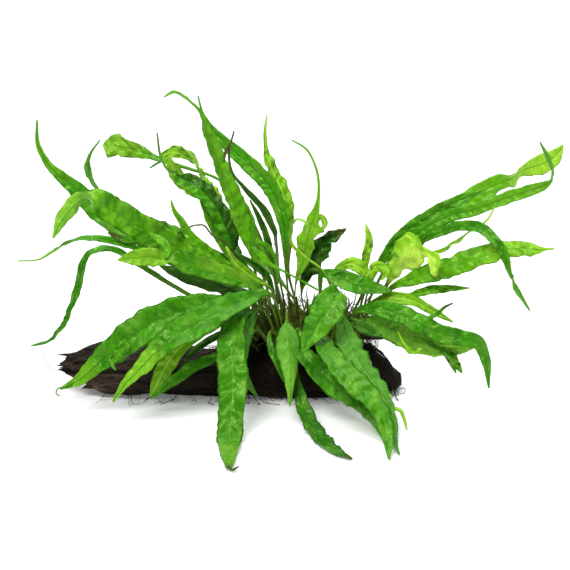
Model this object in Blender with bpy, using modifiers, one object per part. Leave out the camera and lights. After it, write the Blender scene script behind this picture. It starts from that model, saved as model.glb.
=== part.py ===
"""A java fern rooted on a piece of driftwood: log, root mat, creeping rhizome and leaves."""

import math

import bmesh
import bpy
from mathutils import Vector

MM = 0.001

# Driving sizes, mm
GAP = 0.35
MAT_GAP = 0.8
LEAF_THICKNESS = 0.7
LEAF_FOLD = math.radians(11.0)
LEAF_SECTIONS = 11
BEND_LENGTH = 14.0
PETIOLE_WIDTH = 1.3
PETIOLE_RISE = 2.5
ROUTE_STEPS = 8
TIP_WIDTH = 0.8
FLOOR_CLEARANCE = 1.4
RHIZOME_RADIUS = 2.3
RHIZOME_Z = 27.4
RHIZOME_ROUNDING = 2
WOOD_RINGS = 27
WOOD_SIDES = 20
WOOD_SQUARENESS = 0.35
SPLINTER_SIDES = 7
SPLINTER_TAPER = 0.22
MAT_RINGS = 13
MAT_SIDES = 22
MAT_LUMP = 0.03
MAT_CENTRE = Vector((37.5, 1.0, 13.6))
MAT_RADII = Vector((39.0, 21.5, 10.8))

# The front view that the leaf routes are given in, mm: across and up are measured in the
# upright picture plane through the middle of the underside, away is the depth behind it
EYE_RISE = math.radians(18.0)
EYE_DISTANCE = 1000.0
EYE_ACROSS = 27.5
EYE_UP = 51.5
RIGHT = Vector((1.0, 0.0, 0.0))
UPWARD = Vector((0.0, math.sin(EYE_RISE), math.cos(EYE_RISE)))
AHEAD = Vector((0.0, math.cos(EYE_RISE), -math.sin(EYE_RISE)))
EYE = RIGHT * EYE_ACROSS + UPWARD * EYE_UP - AHEAD * EYE_DISTANCE
FLOOR = "floor"

# Material name: base colour, roughness
COLOURS = {
    "leaf_fresh": ((0.115, 0.370, 0.018), 0.38),
    "leaf_deep": ((0.045, 0.230, 0.012), 0.36),
    "leaf_dark": ((0.018, 0.095, 0.010), 0.42),
    "leaf_pale": ((0.300, 0.560, 0.060), 0.45),
    "rhizome_bark": ((0.045, 0.060, 0.012), 0.70),
    "root_fibre": ((0.012, 0.009, 0.008), 0.90),
    "driftwood_bark": ((0.020, 0.014, 0.011), 0.85),
}

# Rhizome strands: name and axis points (x, y)
STRANDS = {
    "rhizome_middle": [(7, 1.5), (22, 2.5), (40, 2.0), (58, 2.8), (72, 2.0), (86, 3.0)],
    "rhizome_front": [(17, -4.0), (24, -7.0), (36, -8.5), (50, -8.0), (63, -8.5)],
    "rhizome_back": [(11, 8.0), (20, 11.0), (34, 12.0), (52, 11.5), (68, 12.5), (78, 11.5)],
}

# Driftwood sections: x, underside z, top z, front y, back y
WOOD_SECTIONS = [
    (-85, 10.5, 14.5, -6, 1),
    (-80, 8.5, 18.0, -10, 6),
    (-74, 6.5, 20.5, -13, 9),
    (-69, 3.0, 22.5, -15, 12),
    (-63, -1.0, 24.0, -17, 14),
    (-50, -2.5, 24.0, -18, 16),
    (-34, -2.5, 23.0, -18, 17),
    (-14, -2.5, 18.5, -17, 17),
    (4, -2.5, 19.5, -18, 17),
    (22, -2.5, 21.5, -19, 18),
    (42, -2.5, 22.0, -19, 19),
    (60, -2.5, 21.5, -18, 18),
    (71, -2.0, 20.5, -16, 16),
    (78, -1.0, 14.5, -13, 13),
    (83, -0.5, 8.0, -9, 9),
    (85.5, 1.5, 4.5, -5, 5),
]

# Ridges along the log: share of its radius, count around it, mm along it per radian of turn
WOOD_RIDGES = [(0.035, 5.0, 13.0), (0.025, 8.0, -9.0)]

# Splinters at the broken left end: root point, tip point, root radius
SPLINTERS = [
    ((-70, -5, 15.0), (-87, -7, 14.5), 3.6),
    ((-68, 2, 17.0), (-86, 1, 18.0), 3.4),
    ((-62, -9, 8.5), (-73, -12, 4.0), 5.0),
    ((-56, -4, 20.0), (-73, -2, 22.5), 3.8),
]

# Leaves: name, material, strand it grows from, place along it, side it leaves on in degrees
# (minus in front, plus behind), the way its blade faces (turn to the right, lift above the
# horizon), then route points of across, up, away and blade width
LEAVES = [
    ("leaf_left_1", "leaf_deep", "rhizome_back", 14, -30, (-22, 35), [
        (10, 50, 13, 1.6), (-10, 60, 17, 7.4), (-33, 71, 22, 11.6), (-65, 89, 27, 12.2),
        (-79, 101, 29, 7.5), (-91, 112, 31, 3.8), (-96, 122, 33, 2.4), (-96.5, 134, 36, 1)]),
    ("leaf_left_2", "leaf_fresh", "rhizome_middle", 12, -20, (-5, 30), [
        (9, 52, 1, 2), (-15, 63, 1, 9), (-32, 72.5, 0, 13.5), (-50, 83, -4, 14),
        (-65, 92, -9, 12), (-73, 95, -13, 8.5), (-78.5, 91, -16, 8), (-83.5, 85, -19, 6.5),
        (-88.5, 75, -21, 1)]),
    ("leaf_left_3", "leaf_deep", "rhizome_back", 17, 40, (0, 30), [
        (12, 52, 20, 2), (-32, 77, 30, 7), (-53, 89, 36, 6), (-63, 96, 39, 3.4), (-68.5, 102.5, 42, 2.4),
        (-71, 109.5, 44, 3.6), (-70, 116.5, 46, 1.8), (-65, 124, 49, 0.8)]),
    ("leaf_left_4", "leaf_fresh", "rhizome_front", 24.5, -25, (0, 38), [
        (15, 49, -11, 3), (-2, 56, -14, 9.5), (-15, 60.5, -17, 10.5), (-26, 63, -19, 9.5),
        (-33, 64, -20, 7.5), (-40, 65.5, -22, 9), (-48, 65, -25, 7.5), (-56, 64, -27, 1)]),
    ("leaf_left_5", "leaf_deep", "rhizome_middle", 8, -50, (0, 30), [
        (4, 50, -1, 1.4), (-18, 57, -5, 1.8), (-40, 67, -9, 2.6), (-53, 72, -14, 3.4),
        (-62, 74.3, -15, 3.6), (-72.5, 75, -16, 3.4), (-81.5, 72.5, -17, 3), (-88.5, 68.5, -18, 2.2),
        (-95, 64.5, -19, 1.2), (-106, 63.5, -20, 0.8)]),
    ("leaf_left_6", "leaf_deep", "rhizome_middle", 11, -85, (-15, 20), [
        (5, 41, -11, 1.4), (-12, 43, -14, 1.6), (-29, 51.5, -16, 2.5), (-47.5, 63, -18, 3.2),
        (-61, 70, -20, 3.6), (-70, 67.5, -22, 3.6), (-76.5, 49, -27, 4.4), (-83.5, 31.5, -31, 4.6),
        (-90, 24, -32, 3), (-99.5, 21, -33, 0.8)]),
    ("leaf_left_7", "leaf_dark", "rhizome_middle", 15, -70, (0, 40), [
        (13, 45, -5, 2), (2, 49, -7, 7), (-12, 54, -10, 9), (-27, 58, -12, 6), (-35, 61, -13, 1)]),
    ("leaf_left_8", "leaf_fresh", "rhizome_back", 21, -60, (0, 20), [
        (10, 54, 8, 1.8), (-2.5, 62, 9, 4), (-12.5, 69, 10, 6), (-20, 76, 11, 5),
        (-24, 83, 12, 3.5), (-28, 89, 13, 2), (-29.5, 94, 14, 0.8)]),
    ("leaf_left_9", "leaf_pale", "rhizome_middle", 22, -20, (0, 30), [
        (20, 50, -2, 1.5), (12, 55, -4, 4), (3, 62, -5, 4.5), (-2, 70.5, -6, 1)]),
    ("leaf_low_left_1", "leaf_deep", "rhizome_middle", 19, -45, (-10, 38), [
        (11, 43, -13, 2), (-7.5, 42.5, -22, 9), (-25, 37.5, -28, 15), (-40, 31, -32, 17),
        (-54, 21.5, -34, 14.5), (-65, 13, -35, 10.5), (-76, 3.5, -35, 5.5), (-85, -0.5, -36, 1)]),
    ("leaf_low_left_2", "leaf_deep", "rhizome_front", 27, -55, (-8, 38), [
        (19, 47.5, -15, 2.5), (5, 43, -25, 11), (-10, 36, -35, 15.5), (-22, 29, -41, 15.5),
        (-34, 20.5, -46, 12), (-46, 8.5, -48, 7.5), (-53, 1, -49, 5), (-58.5, -7, -49, 1)]),
    ("leaf_low_left_3", "leaf_pale", "rhizome_front", 18, -30, (-10, 20), [
        (10, 39, -15, 1.6), (-8, 30, -24, 3), (-24, 21, -25, 7), (-32, 11, -26, 8.5),
        (-36.5, 2, -26, 6.5), (-40, -4.5, -26, 1)]),
    ("leaf_low_left_4", "leaf_dark", "rhizome_front", 18.5, -80, (0, 30), [
        (10, 33, -17, 1.5), (0, 29, -22, 3), (-11, 23.5, -24, 3.5), (-19, 17.5, -24, 3),
        (-24.5, 10, -24, 0.8)]),
    ("leaf_low_left_5", "leaf_deep", "rhizome_front", 20.5, -88, (0, 35), [
        (13, 29, -20, 1.5), (4, 23, -26, 2.5), (-6.5, 16, -29, 4.5), (-20, 9.5, -31, 6),
        (-31, 1.5, -33, 5), (-39.5, -5, -34, 1)]),
    ("leaf_top_1", "leaf_fresh", "rhizome_back", 24, 60, (0, 25), [
        (22, 56, 27, 1.4), (13, 80, 33, 1.4), (3, 98, 39, 1.5), (-8, 105.5, 42, 1.6), (-20, 109.5, 45, 1.8),
        (-32.5, 113.5, 48, 2.6), (-40, 116, 50, 4.5), (-47.5, 119, 53, 8), (-54.5, 120.5, 55, 10.5),
        (-60, 121.5, 57, 9.5), (-63, 122.3, 58, 4)]),
    ("leaf_top_2", "leaf_deep", "rhizome_back", 24, -50, (30, 15), [
        (15, 52, 12, 1.8), (3, 66, 14, 6.5), (-2, 80, 16, 9.7), (-8, 92, 18, 10.8), (-16, 100, 20, 10.3),
        (-26, 105.5, 23, 7), (-31, 109, 24, 3.6), (-34, 114, 25, 2), (-36.5, 127.5, 28, 0.8)]),
    ("leaf_top_3", "leaf_fresh", "rhizome_back", 19, 20, (-15, 20), [
        (11, 57, 18, 2), (0, 67, 20, 5), (-6, 77, 22, 6), (-10.5, 87, 24, 5.5), (-15.5, 96, 25, 1)]),
    ("leaf_top_4", "leaf_pale", "rhizome_back", 21, 20, (0, 20), [
        (15, 60, 22, 1.4), (0, 86, 27, 3), (-9, 99, 30, 5), (-15, 108, 33, 5),
        (-20, 116, 35, 4.5), (-26, 119, 35, 4), (-33, 116.5, 34, 1)]),
    ("leaf_top_5", "leaf_pale", "rhizome_back", 27, 60, (-10, 20), [
        (20, 60, 30, 1.4), (0, 86, 35, 2.5), (-16, 98, 38, 6), (-25, 105, 40, 8),
        (-29, 111, 41, 6), (-31, 117, 42, 1)]),
    ("leaf_top_6", "leaf_fresh", "rhizome_middle", 24, -10, (22, 18), [
        (21, 50, 2, 1.6), (12, 66, 4, 3.7), (7, 81, 6, 8), (0, 99, 6, 8.5), (-6, 114, 4, 7.4),
        (-12, 129, 0, 5.3), (-16, 139, -4, 3), (-22, 145, -7, 2.3), (-28.5, 148, -9, 2),
        (-33, 145.5, -10, 0.8)]),
    ("leaf_top_7", "leaf_deep", "rhizome_back", 30, -20, (-25, 20), [
        (28, 60, 14, 1.6), (27.5, 74, 17, 3.8), (25, 90, 21, 7), (19, 102, 25, 8.1),
        (10, 111.5, 29, 8.1), (1, 119.5, 33, 7), (-8, 128.5, 37, 3.9), (-13.5, 137, 40, 1.6),
        (-16, 146, 43, 0.8)]),
    ("leaf_top_8", "leaf_dark", "rhizome_middle", 28, 20, (10, 18), [
        (24, 60, 6, 1.5), (22, 78, 5, 3.5), (16, 90.5, 3, 3.5), (8, 99, 1, 2.5),
        (1, 108, -2, 1.6), (-0.5, 117, -5, 1.4), (2, 128.5, -8, 0.8)]),
    ("leaf_top_9", "leaf_dark", "rhizome_middle", 27, 60, (0, 18), [
        (23, 52, 10, 1.5), (20, 70, 12, 3), (15.5, 83, 12, 3), (10, 94, 13, 0.8)]),
    ("leaf_top_10", "leaf_pale", "rhizome_back", 34, 10, (25, 18), [
        (29, 60, 22, 1.8), (29.5, 73, 27, 3.2), (28.5, 87, 32, 6.9), (26, 98, 37, 8.5),
        (21.5, 108, 41, 8), (18, 119, 45, 2.8), (17.5, 128, 48, 1.8), (18.5, 136.5, 51, 0.8)]),
    ("leaf_top_11", "leaf_fresh", "rhizome_middle", 33, -30, (-15, 18), [
        (33.5, 55, -2, 1.8), (36.5, 63, -3, 6), (38, 72, -6, 8.5), (41, 82, -8, 6.5),
        (44, 93, -12, 2.4), (43, 110, -18, 1.3), (38.5, 119, -22, 1.1), (31, 124, -28, 0.8)]),
    ("leaf_top_12", "leaf_pale", "rhizome_front", 47, 10, (0, 20), [
        (51, 48.5, -11, 1.2), (46, 59, -12, 1.2), (37, 66, -13, 1.3), (31, 72, -14, 2.2),
        (30, 79, -14, 4), (34, 84.5, -15, 5), (38.5, 82, -16, 3.5), (37.5, 77, -17, 1)]),
    ("leaf_top_13", "leaf_dark", "rhizome_middle", 38, 30, (15, 25), [
        (36, 50, 6, 2), (38.5, 58, 7, 8), (43, 66, 8, 10), (49, 74, 9, 7), (53.5, 77, 11, 5),
        (58, 79.5, 13, 1)]),
    ("leaf_front_1", "leaf_fresh", "rhizome_front", 21.5, -35, (0, 70), [
        (14, 45, -13, 1.8), (7, 40, -22, 6), (1, 28, -34, 12), (1, 14, -45, 14.5),
        (1.5, 1.5, -54, 14), (1, -11, -61.5, 12.5), (0, -21.5, -68, 12.5), (-0.5, -31, FLOOR, 9.5),
        (-0.5, -40, FLOOR, 3)]),
    ("leaf_front_2", "leaf_deep", "rhizome_front", 24, -65, (0, 30), [
        (14, 39.5, -18, 2), (8, 31.5, -23, 9), (6, 21, -28, 8), (6, 10.5, -31, 5),
        (9, 2.5, -32, 3.6), (13.5, -4, -32, 1)]),
    ("leaf_front_3", "leaf_fresh", "rhizome_front", 31, -35, (0, 30), [
        (28.5, 38, -14, 1.6), (28.5, 33, -19, 2.6), (28.7, 29.5, -23, 8.5), (29, 25, -27, 12.5),
        (29.5, 19, -31, 12.5), (30, 11, -37, 8.5), (30, 3, -43, 5), (30, -9, -48, 1)]),
    ("leaf_front_4", "leaf_deep", "rhizome_front", 29, -80, (0, 30), [
        (20, 28, -18, 1.6), (20.5, 20, -24, 3.6), (23.5, 13, -28, 3.6), (27, 3, -30, 0.8)]),
    ("leaf_front_5", "leaf_deep", "rhizome_front", 51, -40, (0, 35), [
        (54.5, 48, -17, 3), (53.5, 47, -21, 10), (51, 43, -25, 15), (47.5, 37, -30, 16),
        (43, 30, -35, 13), (38.5, 22.5, -40, 6.5), (36, 17.5, -43, 1)]),
    ("leaf_front_6", "leaf_deep", "rhizome_front", 33.5, -70, (5, 77), [
        (30.5, 32, -16, 1.4), (30.5, 20, -23, 2), (33.5, 4, -33, 3.5), (36.5, -9, -45, 7),
        (43, -22, FLOOR, 9), (52.5, -31, FLOOR, 7), (61, -35.5, FLOOR, 1)]),
    ("leaf_front_7", "leaf_deep", "rhizome_front", 38, -75, (15, 40), [
        (34.5, 29, -19, 3), (35, 19, -27, 8), (42, 10.5, -34, 11.5), (50, 3, -40, 12),
        (60, -4.5, -46, 11), (68, -10.5, -53, 9), (74, -18.5, -63, 5.5), (77, -26, FLOOR, 1)]),
    ("leaf_front_8", "leaf_fresh", "rhizome_front", 42, -55, (15, 60), [
        (43, 33, -20, 2.5), (45, 25, -32, 8), (53, 13, -48, 12.5), (61, 4, -57, 13.5),
        (70, -5.5, -65, 12.5), (76, -14, -72, 9.5), (78.5, -24, -80, 6), (79.5, -35.5, FLOOR, 1)]),
    ("leaf_front_9", "leaf_deep", "rhizome_front", 55, -60, (25, 60), [
        (56, 37, -17, 2.5), (58, 27, -27, 12), (64, 14.5, -38, 13.5), (71, 4, -46, 11.5),
        (77.5, -6, -54, 8.5), (81, -15, -60, 6), (82, -25, -71.5, 3.5), (84.5, -33, FLOOR, 1)]),
    ("leaf_right_1", "leaf_pale", "rhizome_middle", 48, -20, (0, 35), [
        (51.5, 50, 1, 1.6), (54, 59, 1, 4), (60, 62, 0, 6.5), (66, 59, -1, 6.5), (70, 51, -2, 1)]),
    ("leaf_right_2", "leaf_pale", "rhizome_middle", 60, 10, (10, 20), [
        (67, 50, 4, 1.8), (67.5, 63, 5, 4), (69.5, 74, 5, 4), (68, 82, 5, 0.8)]),
    ("leaf_right_3", "leaf_pale", "rhizome_middle", 70, -15, (0, 20), [
        (77, 50, 0, 1.6), (80.5, 56, -0.5, 6), (84, 63.5, -1, 10), (88.5, 69.5, -3, 11), (94, 69.5, -8, 10),
        (98.5, 65.5, -13, 8), (102, 61, -18, 7.5), (103.5, 54.5, -21, 1)]),
    ("leaf_right_4", "leaf_fresh", "rhizome_back", 66, -30, (15, 30), [
        (73, 58, 12, 2), (85, 73.5, 14, 9), (100, 83, 18, 11), (115, 91, 22, 10.5), (128, 99, 26, 9.5),
        (137, 103.5, 28, 8), (141.5, 105.5, 29, 4.5), (147, 109, 31, 7), (157, 112.5, 33, 10),
        (162, 115.5, 34, 8), (166.5, 121.5, 35, 1)]),
    ("leaf_right_5", "leaf_deep", "rhizome_middle", 64, 40, (20, 30), [
        (72, 58, 8, 2), (85, 75.5, 9, 6), (100, 86, 11, 7), (113, 93, 13, 6), (126, 98.5, 15, 1)]),
    ("leaf_right_6", "leaf_deep", "rhizome_middle", 67, 10, (5, 35), [
        (75, 55, 5, 1.6), (86, 70, 4.5, 3), (97, 79.5, 3, 5), (110, 86, 1, 6.5), (122, 89, -2, 6),
        (134, 93.5, -6, 7), (146, 97.5, -10, 6), (155, 100.5, -13, 5), (160.5, 104, -15, 3),
        (161.5, 108, -16, 2.2), (159.5, 114, -17, 2.6), (155, 123, -20, 0.8)]),
    ("leaf_right_7", "leaf_deep", "rhizome_middle", 74, 25, (10, 30), [
        (81, 57, 4, 1.5), (90, 69, 3, 1.8), (97, 74, -2, 2.8), (107, 78.5, -8, 4.6), (117, 81, -13, 5.4),
        (125, 80, -18, 5.4), (133, 73, -24, 5), (138, 64.5, -28, 4.2), (140.5, 57.5, -30, 3),
        (142.5, 51, -31, 4), (146, 45, -32, 2.2), (150, 38.5, -32, 0.8)]),
    ("leaf_right_8", "leaf_fresh", "rhizome_middle", 76, -35, (10, 38), [
        (80, 49.5, -3, 2.4), (90, 54, -5, 6.5), (101, 58, -9, 10), (112.5, 61.5, -13, 11.5),
        (125, 65.5, -17, 11), (139, 69.5, -21, 9), (149, 69.5, -24, 7), (154.5, 69, -25, 4),
        (157, 69.3, -25.5, 2), (162, 69.7, -27, 1)]),
    ("leaf_right_9", "leaf_fresh", "rhizome_middle", 81, -40, (0, 40), [
        (86, 43, -3, 1.6), (92.5, 47, -6, 3.8), (108, 49.5, -9, 4.4), (119.5, 50, -10, 0.8)]),
    ("leaf_right_10", "leaf_pale", "rhizome_front", 61, 40, (5, 40), [
        (70, 42, -8, 2), (80, 45, -11, 5.5), (91, 43.5, -13, 6), (101, 38.5, -15, 4.5),
        (111.5, 33, -16, 1)]),
    ("leaf_right_11", "leaf_deep", "rhizome_front", 59, -10, (10, 42), [
        (63, 38, -13, 2.5), (75, 39.5, -18, 8), (86, 36.5, -22, 9.5), (96, 31.5, -25, 9.5),
        (106, 27, -27, 9), (116, 25, -29, 8), (124, 22.5, -30, 6.5), (127.5, 15, -31, 5),
        (129.5, 0, -32, 1)]),
    ("leaf_right_12", "leaf_fresh", "rhizome_front", 62, -50, (10, 45), [
        (66, 34, -13, 3), (74, 31.5, -15, 9), (84, 27.5, -17, 11.5), (94, 23, -19, 11),
        (104, 20.5, -20, 9), (115, 20, -20, 6), (123.5, 21, -20, 1)]),
    ("leaf_right_13", "leaf_deep", "rhizome_middle", 43, -30, (0, 45), [
        (45, 48, -3, 1.6), (46.5, 57, -5, 4), (54, 55, -8, 9), (63, 51.5, -10, 10),
        (73, 49.5, -11, 7), (81, 48.5, -12, 1)]),
    ("leaf_back_1", "leaf_deep", "rhizome_back", 14, 60, (-20, 60), [
        (7, 54, 24, 1.6), (-8, 64, 36, 8), (-24, 73, 48, 11), (-40, 81, 58, 9), (-54, 87, 66, 1)]),
    ("leaf_back_2", "leaf_fresh", "rhizome_back", 37, 60, (0, 55), [
        (28, 50, 30, 1.6), (15, 66, 44, 8), (6, 84, 56, 10), (2, 96, 66, 8), (-4, 106, 76, 1)]),
    ("leaf_back_3", "leaf_deep", "rhizome_back", 75, 40, (20, 60), [
        (81, 56, 24, 1.6), (88, 68, 36, 8), (98, 79, 48, 11), (110, 88, 58, 9), (122, 94, 67, 1)]),
    ("leaf_back_4", "leaf_deep", "rhizome_back", 17, 80, (180, 40), [
        (10, 36, 20, 1.8), (5, 33, 32, 8), (3, 28, 41, 11), (2, 24, 47, 9), (1, 20, 51, 1)]),
    ("leaf_back_5", "leaf_deep", "rhizome_back", 58, 80, (180, 40), [
        (56, 40, 22, 1.8), (58, 36, 33, 8), (60, 31, 41, 11), (61, 26, 46, 9), (62, 20, 50, 1)]),
]


def clear_scene():
    for item in list(bpy.data.objects):
        bpy.data.objects.remove(item, do_unlink=True)


def make_collections():
    kept = bpy.data.collections.new("java_fern_on_driftwood")
    cutters = bpy.data.collections.new("cutters")
    bpy.context.scene.collection.children.link(kept)
    bpy.context.scene.collection.children.link(cutters)
    cutters.hide_render = True
    return kept, cutters


def make_materials():
    made = {}
    for name, (colour, roughness) in COLOURS.items():
        material = bpy.data.materials.new(name)
        material.use_nodes = True
        shader = material.node_tree.nodes["Principled BSDF"]
        shader.inputs["Base Color"].default_value = (*colour, 1.0)
        shader.inputs["Roughness"].default_value = roughness
        shader.inputs["Metallic"].default_value = 0.0
        made[name] = material
    return made


def object_from(bm, name, collection, material=None):
    """Turns a mesh worked out in millimetres into an object in metres."""
    bmesh.ops.scale(bm, vec=(MM, MM, MM), verts=bm.verts)
    bmesh.ops.recalc_face_normals(bm, faces=bm.faces)
    mesh = bpy.data.meshes.new(name)
    bm.to_mesh(mesh)
    bm.free()
    item = bpy.data.objects.new(name, mesh)
    collection.objects.link(item)
    if material:
        mesh.materials.append(material)
    return item


# Smooth routes
def smooth_values(values, spans, steps):
    """The curve through numbers or vectors that lie the given spans apart, in steps between neighbours."""
    rates = [(after - before) * (1.0 / span) for before, after, span in zip(values, values[1:], spans)]
    slopes = [rates[0]]
    for i in range(1, len(spans)):
        weighted = rates[i - 1] * spans[i] + rates[i] * spans[i - 1]
        slopes.append(weighted * (1.0 / (spans[i - 1] + spans[i])))
    slopes.append(rates[-1])
    result = []
    for i, span in enumerate(spans):
        for k in range(steps):
            t = k / steps
            result.append(
                values[i] * (2.0 * t ** 3 - 3.0 * t ** 2 + 1.0)
                + slopes[i] * (span * (t ** 3 - 2.0 * t ** 2 + t))
                + values[i + 1] * (3.0 * t ** 2 - 2.0 * t ** 3)
                + slopes[i + 1] * (span * (t ** 3 - t ** 2))
            )
    result.append(values[-1])
    return result


def smooth_route(points, widths):
    """A dense smooth line through the points, and the widths along it."""
    spans = [(after - before).length for before, after in zip(points, points[1:])]
    line = smooth_values(points, spans, ROUTE_STEPS)
    breadths = [max(w, TIP_WIDTH) for w in smooth_values(widths, spans, ROUTE_STEPS)]
    return line, breadths


def between(stations, values, at):
    """The value at a station, straight between its neighbours."""
    for i in range(len(stations) - 1):
        if at <= stations[i + 1]:
            share = (at - stations[i]) / (stations[i + 1] - stations[i])
            return values[i] + (values[i + 1] - values[i]) * share
    return values[-1]


def even_stations(points, widths, count):
    """Spreads points and widths along a dense route, closer together where it bends."""
    lengths = [0.0]
    for i in range(1, len(points)):
        step = points[i] - points[i - 1]
        ahead = points[min(i + 1, len(points) - 1)] - points[i]
        bend = step.angle(ahead) if ahead.length > 0.0 else 0.0
        lengths.append(lengths[-1] + step.length + BEND_LENGTH * bend)
    spread = []
    for i in range(count + 1):
        at = lengths[-1] * i / count
        spread.append((between(lengths, points, at), between(lengths, widths, at)))
    return spread


# Leaves
def seen_point(across, up, away):
    """The place behind a point of the front view at a depth, or where it meets the floor."""
    direction = RIGHT * across + UPWARD * up - EYE
    if away == FLOOR:
        reach = (FLOOR_CLEARANCE - EYE.z) / direction.z
    else:
        reach = (away - EYE.y) / direction.y
    return EYE + direction * reach


def strand_point(strand, x, side):
    """A place on a strand's skin and the direction straight out from it."""
    points = STRANDS[strand]
    y = between([p[0] for p in points], [p[1] for p in points], x)
    out = Vector((0.0, math.sin(side), math.cos(side)))
    return Vector((x, y, RHIZOME_Z)) + out * (RHIZOME_RADIUS + 2 * GAP + LEAF_THICKNESS / 2), out


def leaf_route(strand, x, side, rows):
    """A leaf's dense middle line and the widths along it."""
    start, out = strand_point(strand, x, side)
    points = [start, start + out * PETIOLE_RISE]
    widths = [PETIOLE_WIDTH, PETIOLE_WIDTH]
    for across, up, away, width in rows:
        points.append(seen_point(across, up, away))
        widths.append(width)
    return smooth_route(points, widths)


def facing(turn, lift):
    """The unit direction that a blade's upper side faces."""
    turn = math.radians(turn)
    lift = math.radians(lift)
    return Vector((math.sin(turn) * math.cos(lift), -math.cos(turn) * math.cos(lift), math.sin(lift)))


def leaf_sections(stations, face):
    """Left edge, midrib and right edge of each section along a leaf."""
    sections = []
    side = Vector((1.0, 0.0, 0.0))
    last = len(stations) - 1
    for i, (point, width) in enumerate(stations):
        along = stations[min(i + 1, last)][0] - stations[max(i - 1, 0)][0]
        across = along.normalized().cross(face)
        if i and across.dot(side) < 0.0:
            across.negate()
        side = across.normalized()
        over = side.cross(along).normalized()
        if over.dot(face) < 0.0:
            over.negate()
        reach = side * (width / 2 * math.cos(LEAF_FOLD))
        rise = over * (width / 2 * math.sin(LEAF_FOLD))
        sections.append((point - reach + rise, point, point + reach + rise))
    return sections


def make_leaf(row, collection, materials):
    name, material, strand, x, side, face, rows = row
    points, widths = leaf_route(strand, x, math.radians(side), rows)
    stations = even_stations(points, widths, LEAF_SECTIONS)
    sections = leaf_sections(stations, facing(*face))
    bm = bmesh.new()
    bmesh.ops.create_grid(bm, x_segments=LEAF_SECTIONS, y_segments=2, size=1.0)
    for vert in bm.verts:
        i = round((vert.co.x + 1.0) / 2.0 * LEAF_SECTIONS)
        j = round(vert.co.y + 1.0)
        vert.co = sections[i][j]
    leaf = object_from(bm, name, collection, materials[material])
    shell = leaf.modifiers.new("thickness", "SOLIDIFY")
    shell.thickness = LEAF_THICKNESS * MM
    shell.offset = 0.0
    leaf.modifiers.new("triangles", "TRIANGULATE")
    return leaf


# Driftwood
def wood_ring_point(x, angle, grow):
    """A point of the log's skin: a rough oval between the section's four sides."""
    xs = [s[0] for s in WOOD_SECTIONS]
    low, top, front, back = (between(xs, [s[k] for s in WOOD_SECTIONS], x) for k in (1, 2, 3, 4))
    ridges = sum(share * math.sin(count * angle + x / pitch) for share, count, pitch in WOOD_RIDGES)
    squared = 1.0 / max(abs(math.cos(angle)), abs(math.sin(angle))) ** WOOD_SQUARENESS
    reach = (1.0 + ridges) * squared
    y = (front + back) / 2 + math.cos(angle) * ((back - front) / 2 * reach + grow)
    z = (low + top) / 2 + math.sin(angle) * ((top - low) / 2 * reach + grow)
    return Vector((x, y, z))


def wood_body(grow):
    """The log as a ball whose rings are moved to the log's sections."""
    bm = bmesh.new()
    bmesh.ops.create_uvsphere(bm, u_segments=WOOD_SIDES, v_segments=WOOD_RINGS, radius=1.0)
    left = WOOD_SECTIONS[0][0]
    right = WOOD_SECTIONS[-1][0]
    poles = {min(bm.verts, key=lambda v: v.co.z): 0, max(bm.verts, key=lambda v: v.co.z): -1}
    for vert in bm.verts:
        if vert in poles:
            x, low, top = WOOD_SECTIONS[poles[vert]][:3]
            vert.co = Vector((x + (grow if poles[vert] else -grow), 0.0, (low + top) / 2))
            continue
        share = math.acos(-vert.co.z) / math.pi
        angle = math.atan2(vert.co.y, vert.co.x)
        vert.co = wood_ring_point(left + (right - left) * share, angle, grow)
        if grow == 0.0:
            vert.co.z = max(vert.co.z, 0.0)
    return bm


def splinter(root, tip, radius, name, collection):
    """A tapering broken sliver of wood."""
    root = Vector(root)
    tip = Vector(tip)
    bm = bmesh.new()
    bmesh.ops.create_cone(
        bm,
        cap_ends=True,
        segments=SPLINTER_SIDES,
        radius1=radius,
        radius2=radius * SPLINTER_TAPER,
        depth=(tip - root).length,
    )
    turn = Vector((0.0, 0.0, 1.0)).rotation_difference(tip - root)
    for vert in bm.verts:
        vert.co = turn @ vert.co + (root + tip) / 2
    return object_from(bm, name, collection)


def boolean(target, cutter, operation):
    """Joins or cuts a closed mesh."""
    step = target.modifiers.new(operation.lower(), "BOOLEAN")
    step.operation = operation
    step.solver = "EXACT"
    step.object = cutter
    cutter.display_type = "WIRE"
    cutter.hide_render = True


def make_driftwood(kept, cutters, materials):
    wood = object_from(wood_body(0.0), "driftwood", kept, materials["driftwood_bark"])
    for number, (root, tip, radius) in enumerate(SPLINTERS, 1):
        piece = splinter(root, tip, radius, f"splinter_{number}", cutters)
        boolean(wood, piece, "UNION")
    return wood


# Roots and rhizome
def make_root_mat(kept, cutters, materials):
    """Matted roots draped over the log's top, cut away where the log is."""
    bm = bmesh.new()
    bmesh.ops.create_uvsphere(bm, u_segments=MAT_SIDES, v_segments=MAT_RINGS, radius=1.0)
    for vert in bm.verts:
        lump = 1.0 + MAT_LUMP * math.sin(9.0 * vert.co.x + 4.0 * vert.co.y) * math.cos(7.0 * vert.co.z)
        vert.co = Vector(
            (vert.co.x * MAT_RADII.x, vert.co.y * MAT_RADII.y * lump, vert.co.z * MAT_RADII.z)
        )
        vert.co += MAT_CENTRE
    mat = object_from(bm, "root_mat", kept, materials["root_fibre"])
    cutter = object_from(wood_body(MAT_GAP), "log_space", cutters)
    boolean(mat, cutter, "DIFFERENCE")
    return mat


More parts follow.
